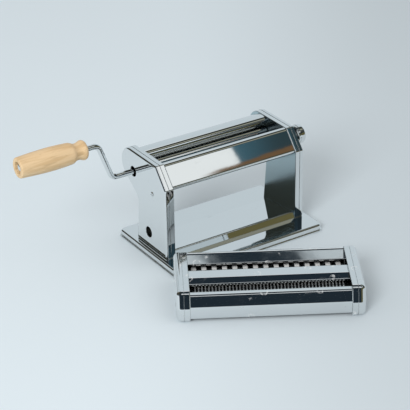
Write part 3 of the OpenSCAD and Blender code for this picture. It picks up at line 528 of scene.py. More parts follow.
def handling_group():
    """Smears and dried drops that handling leaves on metal, and the fine unevenness of the sheet."""
    if "Handling marks" in bpy.data.node_groups:
        return bpy.data.node_groups["Handling marks"]
    group, given, made = node_group(
        "Handling marks", {"Clean": 0.04, "Dulling": 0.1}, ("Roughness", "Smears", "Film", "Height")
    )
    where = object_place(group)
    smears = ramp(group, noise(group, where, scale=38, detail=5, roughness=0.62), 0.5, 0.78)
    streaks = noise(group, where, scale=150, detail=4, roughness=0.6, stretch=(0.35, 1, 1))
    streaks = ramp(group, streaks, 0.58, 0.75)
    drops = ramp(group, noise(group, where, scale=420, detail=2), 0.66, 0.74)
    marks = product(group, smears, math_node(group, "ADD", streaks, drops, True))
    dull = math_node(group, "ADD", product(group, smears, 0.35), marks, True)
    rough = math_node(group, "ADD", product(group, dull, given.outputs["Dulling"]), given.outputs["Clean"])

    # Some cells of a pattern hold the broken rim of a dried drop
    cells = group.nodes.new("ShaderNodeTexVoronoi")
    cells.inputs["Scale"].default_value = 85
    group.links.new(where, cells.inputs["Vector"])
    chance = group.nodes.new("ShaderNodeSeparateColor")
    group.links.new(cells.outputs["Color"], chance.inputs["Color"])
    drop_r = 0.3
    from_rim = math_node(group, "ABSOLUTE", math_node(group, "SUBTRACT", cells.outputs["Distance"], drop_r))
    rims = product(group, ramp(group, from_rim, 0.09, 0.03), ramp(group, chance.outputs[0], 0.7, 0.74),
                   ramp(group, noise(group, where, scale=260, detail=3), 0.42, 0.6))
    film = math_node(group, "ADD", rims, product(group, marks, 0.6), True)
    height = noise(group, where, scale=45, detail=2, roughness=0.4)
    for label, value in (("Roughness", rough), ("Smears", marks), ("Film", film), ("Height", height)):
        group.links.new(value, made.inputs[label])
    return group


def brushing_group():
    """Fine lines that rolling and brushing leave on plain steel."""
    if "Brushed lines" in bpy.data.node_groups:
        return bpy.data.node_groups["Brushed lines"]
    group, given, made = node_group("Brushed lines", {"Depth": 0.5}, ("Lines", "Height"))
    lines = noise(group, object_place(group), scale=900, detail=4, roughness=0.7, stretch=(1, 0.03, 1))
    group.links.new(lines, made.inputs["Lines"])
    group.links.new(product(group, lines, given.outputs["Depth"]), made.inputs["Height"])
    return group


def new_material(name):
    material = bpy.data.materials.new(name)
    material.use_nodes = True
    tree = material.node_tree
    return material, tree, tree.nodes["Principled BSDF"]


def metal(name, colour, clean, dulling, waviness=0.0, brushed=0.0, metallic=1.0, film=0.0):
    """Metal with handling marks; film is how far dried drops hide its shine."""
    worn, lined, wave_height, line_height = 0.86, 0.7, 0.0004, 0.00003
    material, tree, shader = new_material(name)
    material.diffuse_color = (*colour, 1)
    shader.inputs["Metallic"].default_value = metallic
    marks = use_group(tree, handling_group(), Clean=clean, Dulling=dulling)
    if film:
        covered = product(tree, marks["Film"], film)
        tree.links.new(math_node(tree, "SUBTRACT", 1.0, covered), shader.inputs["Metallic"])
    tree.links.new(marks["Roughness"], shader.inputs["Roughness"])
    tone = mix_colour(tree, marks["Smears"], colour, darker(colour, worn))
    if brushed:
        lines = use_group(tree, brushing_group(), Depth=1.0)
        tone = mix_colour(tree, lines["Lines"], tone, darker(colour, lined))
        tree.links.new(bump(tree, lines["Height"], brushed, line_height), shader.inputs["Normal"])
    elif waviness:
        tree.links.new(bump(tree, marks["Height"], waviness, wave_height), shader.inputs["Normal"])
    tree.links.new(tone, shader.inputs["Base Color"])
    return material


def beech_wood():
    """Oiled beech: fine grain along the grip, short dark flecks, a few darker streaks."""
    colours = bpy.context.scene.pasta_finishes
    pale, dark, fleck = colours.beech_pale, colours.beech_dark, darker(colours.beech_dark, 0.7)
    material, tree, shader = new_material("oiled_beech")
    material.diffuse_color = (*pale, 1)
    where = object_place(tree)
    bands = noise(tree, where, scale=240, detail=4, roughness=0.55, stretch=(0.08, 1, 1))
    fibres = noise(tree, where, scale=900, detail=3, roughness=0.6, stretch=(0.05, 1, 1))
    flecks = noise(tree, where, scale=700, detail=2, stretch=(0.18, 1, 1))
    streaks = noise(tree, where, scale=110, detail=3, roughness=0.6, stretch=(0.16, 1, 1))
    grain = math_node(tree, "ADD", product(tree, ramp(tree, bands, 0.4, 0.66), 0.6),
                      product(tree, fibres, 0.25), True)
    tone = mix_colour(tree, grain, pale, dark)
    tone = mix_colour(tree, product(tree, ramp(tree, flecks, 0.62, 0.72), 0.3), tone, fleck)
    tone = mix_colour(tree, product(tree, ramp(tree, streaks, 0.56, 0.66), 0.4), tone, fleck)
    tree.links.new(tone, shader.inputs["Base Color"])
    rough = math_node(tree, "ADD", product(tree, fibres, 0.18), 0.42)
    tree.links.new(rough, shader.inputs["Roughness"])
    tree.links.new(bump(tree, fibres, strength=0.25, distance=0.0002), shader.inputs["Normal"])
    return material


def finish(name):
    """The material of one finish, made when first asked for."""
    if name in bpy.data.materials:
        return bpy.data.materials[name]
    if name == "oiled_beech":
        return beech_wood()
    look = bpy.context.scene.pasta_finishes
    # Colour, roughness where clean, share of the smudges, and what else differs
    colour, clean, smudged, more = {
        "polished_chrome": (look.chrome, look.polish, 0.12, {"waviness": 0.05}),
        "mirror_chrome": (look.chrome, look.polish * 0.6, 0.02, {"waviness": 0.02}),
        "handled_chrome": (look.chrome, look.polish * 1.3, 0.2, {"waviness": 0.08, "film": 0.5}),
        "dull_back": (look.cover_back, 0.5, 0.1, {"metallic": 0.3}),
        "polished_roller": (look.roller, look.polish * 2.2, 0.2, {}),
        "cutter_plating": (look.cutter, 0.12, 0.2, {"metallic": 0.9}),
        "pale_plating": (look.cutter, 0.3, 0.2, {"metallic": 0.3}),
        # Near-black metal that paints shade into the grooves between the cutter discs and into the clamp
        # socket's hole
        "painted_shade_recess": (darker(look.cutter, 0.12), 0.4, 0.3, {}),
        "satin_plate": (look.plate, 0.2, 0.2, {"brushed": 0.2}),
        "machined_steel": (look.steel, 0.22, 0.2, {"brushed": 0.15}),
        "machined_brass": (look.brass, 0.25, 0.2, {"brushed": 0.15}),
    }[name]
    return metal(name, tuple(colour), clean, smudged * look.smudges, **more)


# Shared shapes


def panel_corners(machine):
    """Outline of a side panel in Y and Z, anticlockwise."""
    slope, lean = math.radians(35.6), math.radians(5.9)
    foot_round, waist_round, facet_round = 0.0006, 0.012, 0.002
    foot, top = machine.base_h, machine.base_h + machine.panel_h
    tip = machine.lobe_y + machine.lobe_r / math.tan(slope / 2)
    waist_z = top - (tip - machine.panel_rear - foot * math.tan(lean)) * math.tan(slope)
    waist_z /= 1 + math.tan(lean) * math.tan(slope)
    waist_y = machine.panel_rear - (waist_z - foot) * math.tan(lean)
    return [
        (-machine.panel_front, foot, foot_round, 3),
        (machine.panel_rear, foot, foot_round, 3),
        (waist_y, waist_z, waist_round, 16),
        (tip, top, machine.lobe_r, 48),
        (-machine.facet_y, top, facet_round, 8),
        (-machine.panel_front, foot + machine.knee_h, facet_round, 8),
    ]


def head_corners(cutter):
    """Outline of the cutter head's ends in Y and Z, anticlockwise."""
    foot_round, top_round, skirt_round = 0.0035, 0.005, 0.008
    return [
        (-cutter.head_front, 0, foot_round, 6),
        (cutter.head_back, 0, foot_round, 6),
        (cutter.head_back, cutter.head_h + cutter.head_rise, top_round, 10),
        (cutter.head_lean - cutter.head_front, cutter.head_h, top_round, 10),
        (-cutter.head_front, cutter.head_skirt, skirt_round, 6),
    ]


def head_place(cutter):
    """Where the cutter head stands on the table, turned towards the crank."""
    turn = math.radians(-30)
    return Matrix.Translation((cutter.head_x, cutter.head_y, 0)) @ Matrix.Rotation(turn, 4, "Z")


def dished_plate(corners, machine, x0, seam, step_end, t):
    """Inner plate whose turned rim ends in a step under the outer cover."""
    edge_r, step_t = 0.0008, 0.0008
    sheet, cavity = machine.sheet, machine.sheet + step_t
    shoulder = seam - machine.seam_w / 2
    profile = [(cavity, x0 + t), (cavity, step_end), (sheet, step_end), (sheet, shoulder), (0, shoulder)]
    return pressed(corners, profile + arc(edge_r, x0 + edge_r, edge_r, math.pi, QUARTER, 4))


def drawn_cover(corners, machine, seam, x1, rim_r):
    """Shallow outer cover with a rounded rim."""
    sheet, mouth = machine.sheet, seam + machine.seam_w / 2
    profile = [(rim_r, x1 - sheet), (sheet, x1 - rim_r), (sheet, mouth), (0, mouth)]
    return pressed(corners, profile + arc(rim_r, x1 - rim_r, rim_r, math.pi, -QUARTER, 8))


# Operators


class PASTA_OT_base(bpy.types.Operator):
    """Base plate with its stepped rim, and the floor plate with its screw"""

    bl_idname = "pasta.base"
    bl_label = "Base and floor plate"

    def execute(self, context):
        machine = context.scene.pasta_machine
        corners = [(x * machine.base_w / 2, y * machine.base_d / 2, machine.base_corner, 12)
                   for x, y in RECTANGLE]
        wall, chamfer, foot_r, hollow_r = machine.rim_w + machine.base_sheet, 0.0002, 0.0006, 0.0005
        top_r = machine.base_edge
        profile = [(wall, machine.base_h - machine.base_sheet), (wall, 0), (chamfer, 0), (0, chamfer)]
        profile += arc(foot_r, machine.rim_h - foot_r, foot_r, math.pi, -QUARTER, 4)
        profile += arc(machine.rim_w - hollow_r, machine.rim_h + hollow_r, hollow_r, -QUARTER, QUARTER, 4)
        profile += arc(machine.rim_w + top_r, machine.base_h - top_r, top_r, math.pi, -QUARTER, 8)
        base = new_object("base", pressed(corners, profile, along_x=False))
        place(base, "frame", ["base_plate"], "polished_chrome", 0)
        even_shading(base)

        half, back, front = machine.inner_span / 2, 0.0284, 0.0294
        level, flat, rise, lip = machine.base_h + machine.sheet, 0.005, 0.0071, 0.0024
        path = [(back, level), (back - flat, level, 0.004, 6),
                (lip - front, machine.base_h + rise, 0.002, 10), (-front, machine.base_h)]
        floor = new_object("floor_sheet", bent_sheet(path, half, machine.sheet))
        place(floor, "frame", ["floor_plate"], "polished_chrome")

        x, y, seat, stem = -0.0575, 0.0216, level + 0.0003, 0.002
        slot_half_w, slot_half_len, slot_bottom, slot_top = 0.0003, 0.003, seat + 0.0004, seat + 0.003
        dome = ((0.002, 0), (0.0019, 0.0005), (0.0013, 0.0009), (0, 0.001))
        upright = Matrix.Translation((x, y, 0)) @ Matrix.Rotation(-QUARTER, 4, "Y")
        solid = screw(0.001, seat - stem, seat, dome, 0, 0, 24)
        made = new_object("floor_sheet_screw", moved(solid, upright))
        drill(made, [block(x - slot_half_w, x + slot_half_w, y, (slot_bottom + slot_top) / 2, slot_half_len,
                           (slot_top - slot_bottom) / 2)])
        place(made, "frame", ["floor_screw"], "machined_steel", 0)
        return {"FINISHED"}


class PASTA_OT_panels(bpy.types.Operator):
    """Side panels: inner plates with turned rims, and drawn outer covers"""

    bl_idname = "pasta.panels"
    bl_label = "Side panels"

    def execute(self, context):
        machine, crank = context.scene.pasta_machine, context.scene.pasta_crank
        corners = panel_corners(machine)
        inner = machine.inner_span / 2
        outer, seam = inner + machine.panel_t, inner + machine.panel_t / 2
        axle, knob = (machine.axle_y, machine.axle_z), (crank.knob_y, crank.knob_z)
        past, cover_depth, skin = 0.001, 0.002, 0.0001
        clamp_at, clamp_d = (0.0046, 0.0254), 0.012
        bush_d, slide_d = machine.shaft_d + 0.0041, machine.shaft_d + 0.0006
        rod_hole_d, knob_hole_d, crank_hole_d, screw_hole_d = 0.0051, 0.0056, 0.0115, 0.003
        screws = {"right": (-0.0044, 0.06), "left": (-0.0044, 0.0732)}
        stop_slot = (0.0065, 0.003, math.radians(-85), QUARTER)

        x0, x1 = inner - past, inner + machine.plate_t + past
        clamp = drill_x(x0, outer + past, *clamp_at, clamp_d)
        slide = machine.front_y, machine.front_y + machine.travel
        holes = [drill_x(x0, x1, *axle, bush_d), straight_slot(x0, x1, *slide, machine.axle_z, slide_d),
                 drill_x(x0, x1, *knob, rod_hole_d)]
        plate = dished_plate(corners, machine, inner, seam, outer - machine.cover_round, machine.plate_t)
        for side, cuts in (("right", holes), ("left", holes + [clamp])):
            made = new_object(side + "_plate", SIDES[side](plate))
            drill(made, [SIDES[side](cut) for cut in cuts])
            place(made, "frame", [side + "_inner_plate"], "polished_chrome")
            finish_faces(made, "satin_plate", lambda centre: abs(centre.x) < inner + skin)

        x0, x1 = outer - cover_depth, outer + past
        holes = {"right": [drill_x(x0, x1, *knob, knob_hole_d), arc_slot(x0, x1, *knob, *stop_slot)],
                 "left": [drill_x(x0, x1, *axle, crank_hole_d), clamp]}
        cover = drawn_cover(corners, machine, seam, outer, machine.cover_round)
        for side, cuts in holes.items():
            made = new_object(side + "_cover", SIDES[side](cover))
            drill(made, [SIDES[side](cut) for cut in cuts + [drill_x(x0, x1, *screws[side], screw_hole_d)]])
            place(made, "frame", [side + "_outer_cover"], "polished_chrome")

        dome = ((0.0027, 0), (0.0026, 0.0004), (0.0021, 0.0008), (0.0012, 0.0011), (0, 0.00115))
        stem = inner + machine.plate_t
        slot_bottom, slot_top, slot_half_len, slot_half_w = outer + 0.0006, outer + 0.003, 0.004, 0.0003
        solids = [SIDES[side](screw(0.0015, stem, outer, dome, *at, 32)) for side, at in screws.items()]
        slots = [SIDES[side](block(slot_bottom, slot_top, *at, slot_half_len, slot_half_w))
                 for side, at in screws.items()]
        made = new_object("panel_screws", joined(*solids))
        drill(made, slots)
        place(made, "frame", ["cover_screws"], "polished_chrome", 0)
        return {"FINISHED"}


class PASTA_OT_covers(bpy.types.Operator):
    """Slanted front cover and curved rear cover over the rollers"""

    bl_idname = "pasta.covers"
    bl_label = "Front and rear covers"

    def execute(self, context):
        machine = context.scene.pasta_machine
        half = machine.inner_span / 2
        top, knee = machine.base_h + machine.panel_h, machine.base_h + machine.knee_h
        run = Vector((machine.facet_y - machine.panel_front, knee - top)).normalized()
        out = Vector((run.y, -run.x))
        sunk, ledge, hem, tuck = 0.0006, 0.005, 0.007, Vector((0.004, -0.0025))
        edge_y, edge_z = -machine.facet_y, top - sunk
        low = Vector((-machine.panel_front, knee)) - sunk * out
        path = [(edge_y + ledge, edge_z - hem), (edge_y + ledge, edge_z, 0.0015, 8),
                (edge_y, edge_z, 0.006, 16), (*low, 0.003, 12), tuple(low + tuck)]
        front = new_object("slanted_cover", bent_sheet(path, half, machine.sheet))
        place(front, "frame", ["front_cover"], "mirror_chrome")

        radius, lip_r = machine.roller_d / 2 + 0.009, 0.007
        start, crest, lip_turn = math.radians(-13), math.radians(100), math.radians(97)
        lip_y = machine.axle_y + (radius - lip_r) * math.cos(crest)
        lip_z = machine.axle_z + (radius - lip_r) * math.sin(crest)

        def section(inset):
            """The cover's arc round the rear roller, and its front edge rolled down into the slot."""
            return (arc(machine.axle_y, machine.axle_z, radius - inset, start, crest - start, 64)
                    + arc(lip_y, lip_z, lip_r - inset, crest, lip_turn, 16)[1:])

        outline = section(0) + section(machine.sheet)[::-1]
        rear = new_object("curved_cover", extruded(outline, -half, half))
        place(rear, "frame", ["rear_cover"], "polished_chrome")
        middle = radius - machine.sheet / 2
        finish_faces(rear, "dull_back", lambda centre: centre.y > lip_y and math.hypot(
            centre.y - machine.axle_y, centre.z - machine.axle_z) < middle)
        return {"FINISHED"}


class PASTA_OT_rollers(bpy.types.Operator):
    """The two smooth rollers"""

    bl_idname = "pasta.rollers"
    bl_label = "Rollers"

    def execute(self, context):
        machine = context.scene.pasta_machine
        end_play, chamfer = 0.0004, 0.0006
        end, r, bore = machine.inner_span / 2 - end_play, machine.roller_d / 2, machine.shaft_d / 2
        profile = [(bore, -end), (r - chamfer, -end), (r, -end + chamfer), (r, end - chamfer),
                   (r - chamfer, end), (bore, end)]
        for name, y in (("rear", machine.axle_y), ("front", machine.front_y)):
            made = new_object(name + "_sleeve", turned(profile, y, machine.axle_z, 128, True))
            place(made, name + "_roller", [name + "_roller"], "polished_roller", 0)
        return {"FINISHED"}


class PASTA_OT_knob(bpy.types.Operator):
    """Thickness knob at the right end"""

    bl_idname = "pasta.knob"
    bl_label = "Knob"

    def execute(self, context):
        machine, crank = context.scene.pasta_machine, context.scene.pasta_crank
        play, bore_r, bore_depth, face_dip = 0.0004, 0.0025, 0.0062, 0.0003
        x0 = machine.inner_span / 2 + machine.panel_t + play
        x1, r, edge_r = x0 + crank.knob_len, crank.knob_d / 2, 0.003
        groove_x, groove_r, groove_out = x0 + 0.002, 0.001, 0.0005
        profile = [(bore_r, x0), (r - 0.0006, x0), (r - 0.0002, x0 + 0.0002), (r, x0 + 0.0006),
                   (r, groove_x - 0.0008)]
        profile += arc(r + groove_out, groove_x, groove_r, -0.68 * math.pi, -0.64 * math.pi, 8)
        profile += [(r, groove_x + 0.0008)]
        profile += arc(r - edge_r, x1 - edge_r, edge_r, 0, QUARTER, 10)
        profile += [(r * 0.5, x1), (r * 0.42, x1 - face_dip), (0, x1 - face_dip), (0, x0 + bore_depth),
                    (bore_r, x0 + bore_depth)]
        made = new_object("thickness_knob", turned(profile, crank.knob_y, crank.knob_z, 72, True))
        place(made, "adjuster", ["adjusting_knob"], "polished_chrome", 0)
        return {"FINISHED"}


class PASTA_OT_crank(bpy.types.Operator):
    """Bent crank rod and its turned beech grip"""

    bl_idname = "pasta.crank"
    bl_label = "Crank and grip"

    def execute(self, context):
        machine, crank = context.scene.pasta_machine, context.scene.pasta_crank
        axle_y, axle_z = machine.axle_y, machine.axle_z
        high_x, grip_z = crank.corner_x - crank.slant, axle_z + crank.rise
        right = high_x - crank.grip_gap
        left = right - crank.grip_len
        end, tip, square_end, square_half = left + 0.003, -0.0756, -0.0642, 0.0021
        corners = [(tip, axle_z), (crank.corner_x, axle_z, crank.bend, 12),
                   (high_x, grip_z, crank.bend, 12), (end, grip_z)]
        path = [Vector((x, axle_y, z)) for x, z in open_outline(corners, 0)]
        rod = swept(path, crank.rod_d / 2, 32)
        square = block(tip, square_end, axle_y, axle_z, square_half, square_half)
        dome = ((0.0042, 0), (0.0042, 0.0003), (0.0036, 0.0012), (0.0022, 0.0019), (0, 0.0022))
        head = turned([(0, end)] + [(radius, end - height) for radius, height in dome], axle_y, grip_z, 32)
        made = new_object("crank_arm", joined(rod, square, head))
        place(made, "crank", ["crank_rod"], "polished_chrome", 0)

        # The grip's thickness along its length, from the collar at the crank's end
        shares = (0, 0.01, 0.026, 0.045, 0.065, 0.1, 0.135, 0.175, 0.205, 0.235, 0.5, 0.75, 1)
        widths = (0.62, 0.75, 0.83, 0.86, 0.835, 0.75, 0.715, 0.76, 0.86, 0.92, 1.0, 0.965, 0.885)
        steps, turned_steps, bore_play = 96, 94, 0.00005
        end_share, end_w, end_len = 0.98, 0.0016, 0.0015
        recess_r, recess_depth = 0.0064, 0.008
        r, bore = crank.grip_d / 2, crank.rod_d / 2 + bore_play
        profile = [(bore, right)]
        profile += [(r * smooth_curve(shares, widths, i / steps), right - crank.grip_len * i / steps)
                    for i in range(turned_steps)]
        last = r * smooth_curve(shares, widths, end_share)
        profile += [(last - end_w * (1 - across), left + end_len * (1 - along))
                    for across, along in arc(0, 0, 1, 0, QUARTER, 6)]
        profile += [(recess_r + 0.0005, left), (recess_r + 0.0001, left + 0.0001), (recess_r, left + 0.0005),
                    (recess_r, left + recess_depth), (bore, left + recess_depth)]
        made = new_object("beech_grip", turned(profile, axle_y, grip_z, 72, True))
        place(made, "grip", ["grip"], "oiled_beech", 0)
        return {"FINISHED"}


class PASTA_OT_cutter_shell(bpy.types.Operator):
    """Cutter head's end caps, inner plates and three covers"""

    bl_idname = "pasta.cutter_shell"
    bl_label = "Cutter head shell"

    def execute(self, context):
        machine, cutter = context.scene.pasta_machine, context.scene.pasta_cutter
        corners, put = head_corners(cutter), head_place(cutter)
        outer = cutter.head_len / 2
        inner = outer - cutter.cap_w
        seam, plate_t, past, depth = inner + 0.00575, 0.0012, 0.001, 0.002
        bush_d, socket_d = 0.0121, 0.01
        near = cutter.pair_offset - cutter.pair_spacing / 2
        far = cutter.pair_offset + cutter.pair_spacing / 2
        bores = [drill_x(inner - past, inner + depth, y, cutter.cutter_z, bush_d)
                 for y in (-near, -far, near, far)]
        sockets = [drill_x(outer - depth, outer + past, y, cutter.cutter_z, socket_d) for y in (-far, far)]
        plate = dished_plate(corners, machine, inner, seam, outer - cutter.cap_round, plate_t)
        cap = drawn_cover(corners, machine, seam, outer, cutter.cap_round)
        for side, turn in SIDES.items():
            made = new_object("cutter_%s_plate" % side, moved(turn(plate), put))
            drill(made, [moved(turn(bore), put) for bore in bores])
            place(made, "cutter_head", ["head_%s_plate" % side], "handled_chrome")
            made = new_object("cutter_%s_cap" % side, moved(turn(cap), put))
            if side == "left":
                drill(made, [moved(turn(socket), put) for socket in sockets])
            place(made, "cutter_head", ["head_%s_cap" % side], "handled_chrome")

        sheet, lip, rim_r, hem = machine.sheet, 0.0018, 0.0015, 0.0034
        slot_top, front_top = cutter.cutter_z + cutter.disc_d / 2 + 0.0049, cutter.head_h - 0.0034
        crown, ridge = cutter.head_h + cutter.head_rise - 0.0024, cutter.head_h - 0.0003
        ridge_half, ridge_tilt = 0.0065, 0.0005
        far_edge, near_edge = cutter.pair_offset + cutter.slot_w / 2, cutter.pair_offset - cutter.slot_w / 2
        front, back, front_edge = 0.0016 - cutter.head_front, 0.0012 - cutter.head_back, -far_edge - 0.0032
        front_path = [(front_edge, front_top - lip), (front_edge, front_top, rim_r, 8),
                      (cutter.head_lean - cutter.head_front, front_top, 0.003, 10),
                      (front, cutter.head_skirt + sheet, 0.006, 8), (front, hem)]
        rear_path = [(-far_edge, slot_top - lip), (-far_edge, slot_top, rim_r, 8),
                     (back + 0.0042, crown, 0.004, 8), (back, crown + 0.0008, 0.0022, 10), (back, hem)]
        middle_path = [(near_edge, slot_top - lip), (near_edge, slot_top, rim_r, 8),
                       (ridge_half, ridge + ridge_tilt, 0.003, 8),
                       (-ridge_half, ridge - ridge_tilt, 0.003, 8),
                       (-near_edge, slot_top - sheet, rim_r, 8), (-near_edge, slot_top - sheet - lip)]
        turned_round = put @ Matrix.Rotation(math.pi, 4, "Z")
        for name, node, path, at in (("cutter_front_skirt", "head_front_cover", front_path, put),
                                     ("cutter_rear_skirt", "head_rear_cover", rear_path, turned_round),
                                     ("cutter_ridge", "head_middle_cover", middle_path, put)):
            made = new_object(name, moved(bent_sheet(path, inner, sheet), at))
            place(made, "cutter_head", [node], "handled_chrome")
        return {"FINISHED"}


class PASTA_OT_cutters(bpy.types.Operator):
    """Interleaved cutter rollers of the wide and the fine pair"""

    bl_idname = "pasta.cutters"
    bl_label = "Cutter rollers"

    def execute(self, context):
        machine, cutter = context.scene.pasta_machine, context.scene.pasta_cutter
        put = head_place(cutter)
        along = put.to_3x3() @ Vector((1, 0, 0))
        end_play, sunk, journal = 0.0005, 0.0015, 0.0112
        core = cutter.head_len / 2 - cutter.cap_w - end_play
        left, right = machine.sheet + sunk - cutter.head_len / 2, core + journal
        shaft, groove, disc_r = 0.0046, cutter.groove_d / 2, cutter.disc_d / 2
        chamfer, skin = 0.00015, 0.0003
        round_r, square_r, mouth_r = 0.00305, 0.0022, 0.0033
        mouth_end, round_end, square_end = left + 0.0003, left + 0.008, left + 0.02
        socket = [(0, square_end), (square_r, square_end), (square_r, round_end), (round_r, round_end),
                  (round_r, mouth_end), (mouth_r, left)]

        def discs(count, strip):
            """Profile of the discs and the grooves between them."""
            half, points = (strip - cutter.disc_play) / 2, []
            for i in range(count):
                x = (i - (count - 1) / 2) * 2 * strip
                points += [(groove, x - half), (disc_r - chamfer, x - half), (disc_r, x - half + chamfer),
                           (disc_r, x + half - chamfer), (disc_r - chamfer, x + half), (groove, x + half)]
            return points

        for side, strip, kind, plating in ((1, cutter.wide_strip, "wide", "pale_plating"),
                                           (-1, cutter.fine_strip, "fine", "cutter_plating")):
            count = int((cutter.row_len / strip + 1) / 2)
            for letter, outward, n, start in (("a", 1, count, socket), ("b", -1, count - 1, [(0, left)])):
                profile = start + [(shaft, left), (shaft, -core), (groove, -core)] + discs(n, strip)
                profile += [(groove, core), (shaft, core), (shaft, right), (0, right)]
                y = side * (cutter.pair_offset + outward * cutter.pair_spacing / 2)
                body = "%s_cutter_%s" % (kind, letter)
                solid = moved(turned(profile, y, cutter.cutter_z, 40), put)
                made = new_object("%s_discs_%s" % (kind, letter), solid)
                # Painted shade: all but the discs' rims are coloured near black, in the grooves, on the disc
                # sides, shafts and socket
                place(made, body, [body], "painted_shade_recess", 0)
                axis = put @ Vector((0, y, cutter.cutter_z))
                finish_faces(made, plating, lambda at: (at - axis).cross(along).length > disc_r - skin)
        return {"FINISHED"}


class PASTA_OT_inner_parts(bpy.types.Operator):
    """Finishes of the shafts, gears, bushes, combs and other inner parts"""

    bl_idname = "pasta.inner_parts"
    bl_label = "Inner parts"

    def execute(self, context):
        by_slot = {"chrome_shell": "polished_chrome", "roller_chrome": "polished_roller",
                   "plate_steel": "satin_plate", "turned_steel": "machined_steel",
                   "bearing_brass": "machined_brass", "beech": "oiled_beech"}
        for entry in frame["record"]["subparts"]:
            node = frame["nodes"][entry["node"]]
            node.data.materials.clear()
            node.data.materials.append(finish(by_slot[entry["material_slot"]]))
        # Painted shade: the clamp socket's hole is coloured near black
        frame["nodes"]["clamp_socket"].data.materials[0] = finish("painted_shade_recess")
        return {"FINISHED"}


def far_panel(tree, direction, azimuth, elevation, half_w, half_h, soft):
    """Mask of an upright rectangle far away in the given direction."""
    a, e = math.radians(azimuth), math.radians(elevation)
    ahead = (math.cos(e) * math.cos(a), math.cos(e) * math.sin(a), math.sin(e))
    side = (-math.sin(a), math.cos(a), 0)
    up = (-math.sin(e) * math.cos(a), -math.sin(e) * math.sin(a), math.cos(e))

    def along(axis):
        made = tree.nodes.new("ShaderNodeVectorMath")
        made.operation = "DOT_PRODUCT"
        tree.links.new(direction, made.inputs[0])
        made.inputs[1].default_value = axis
        return made.outputs["Value"]

    depth = math_node(tree, "MAXIMUM", along(ahead), 0.001)
    across = math_node(tree, "ABSOLUTE", math_node(tree, "DIVIDE", along(side), depth))
    height = math_node(tree, "ABSOLUTE", math_node(tree, "DIVIDE", along(up), depth))
    return product(tree, ramp(tree, across, half_w + soft, half_w - soft),
                   ramp(tree, height, half_h + soft, half_h - soft))


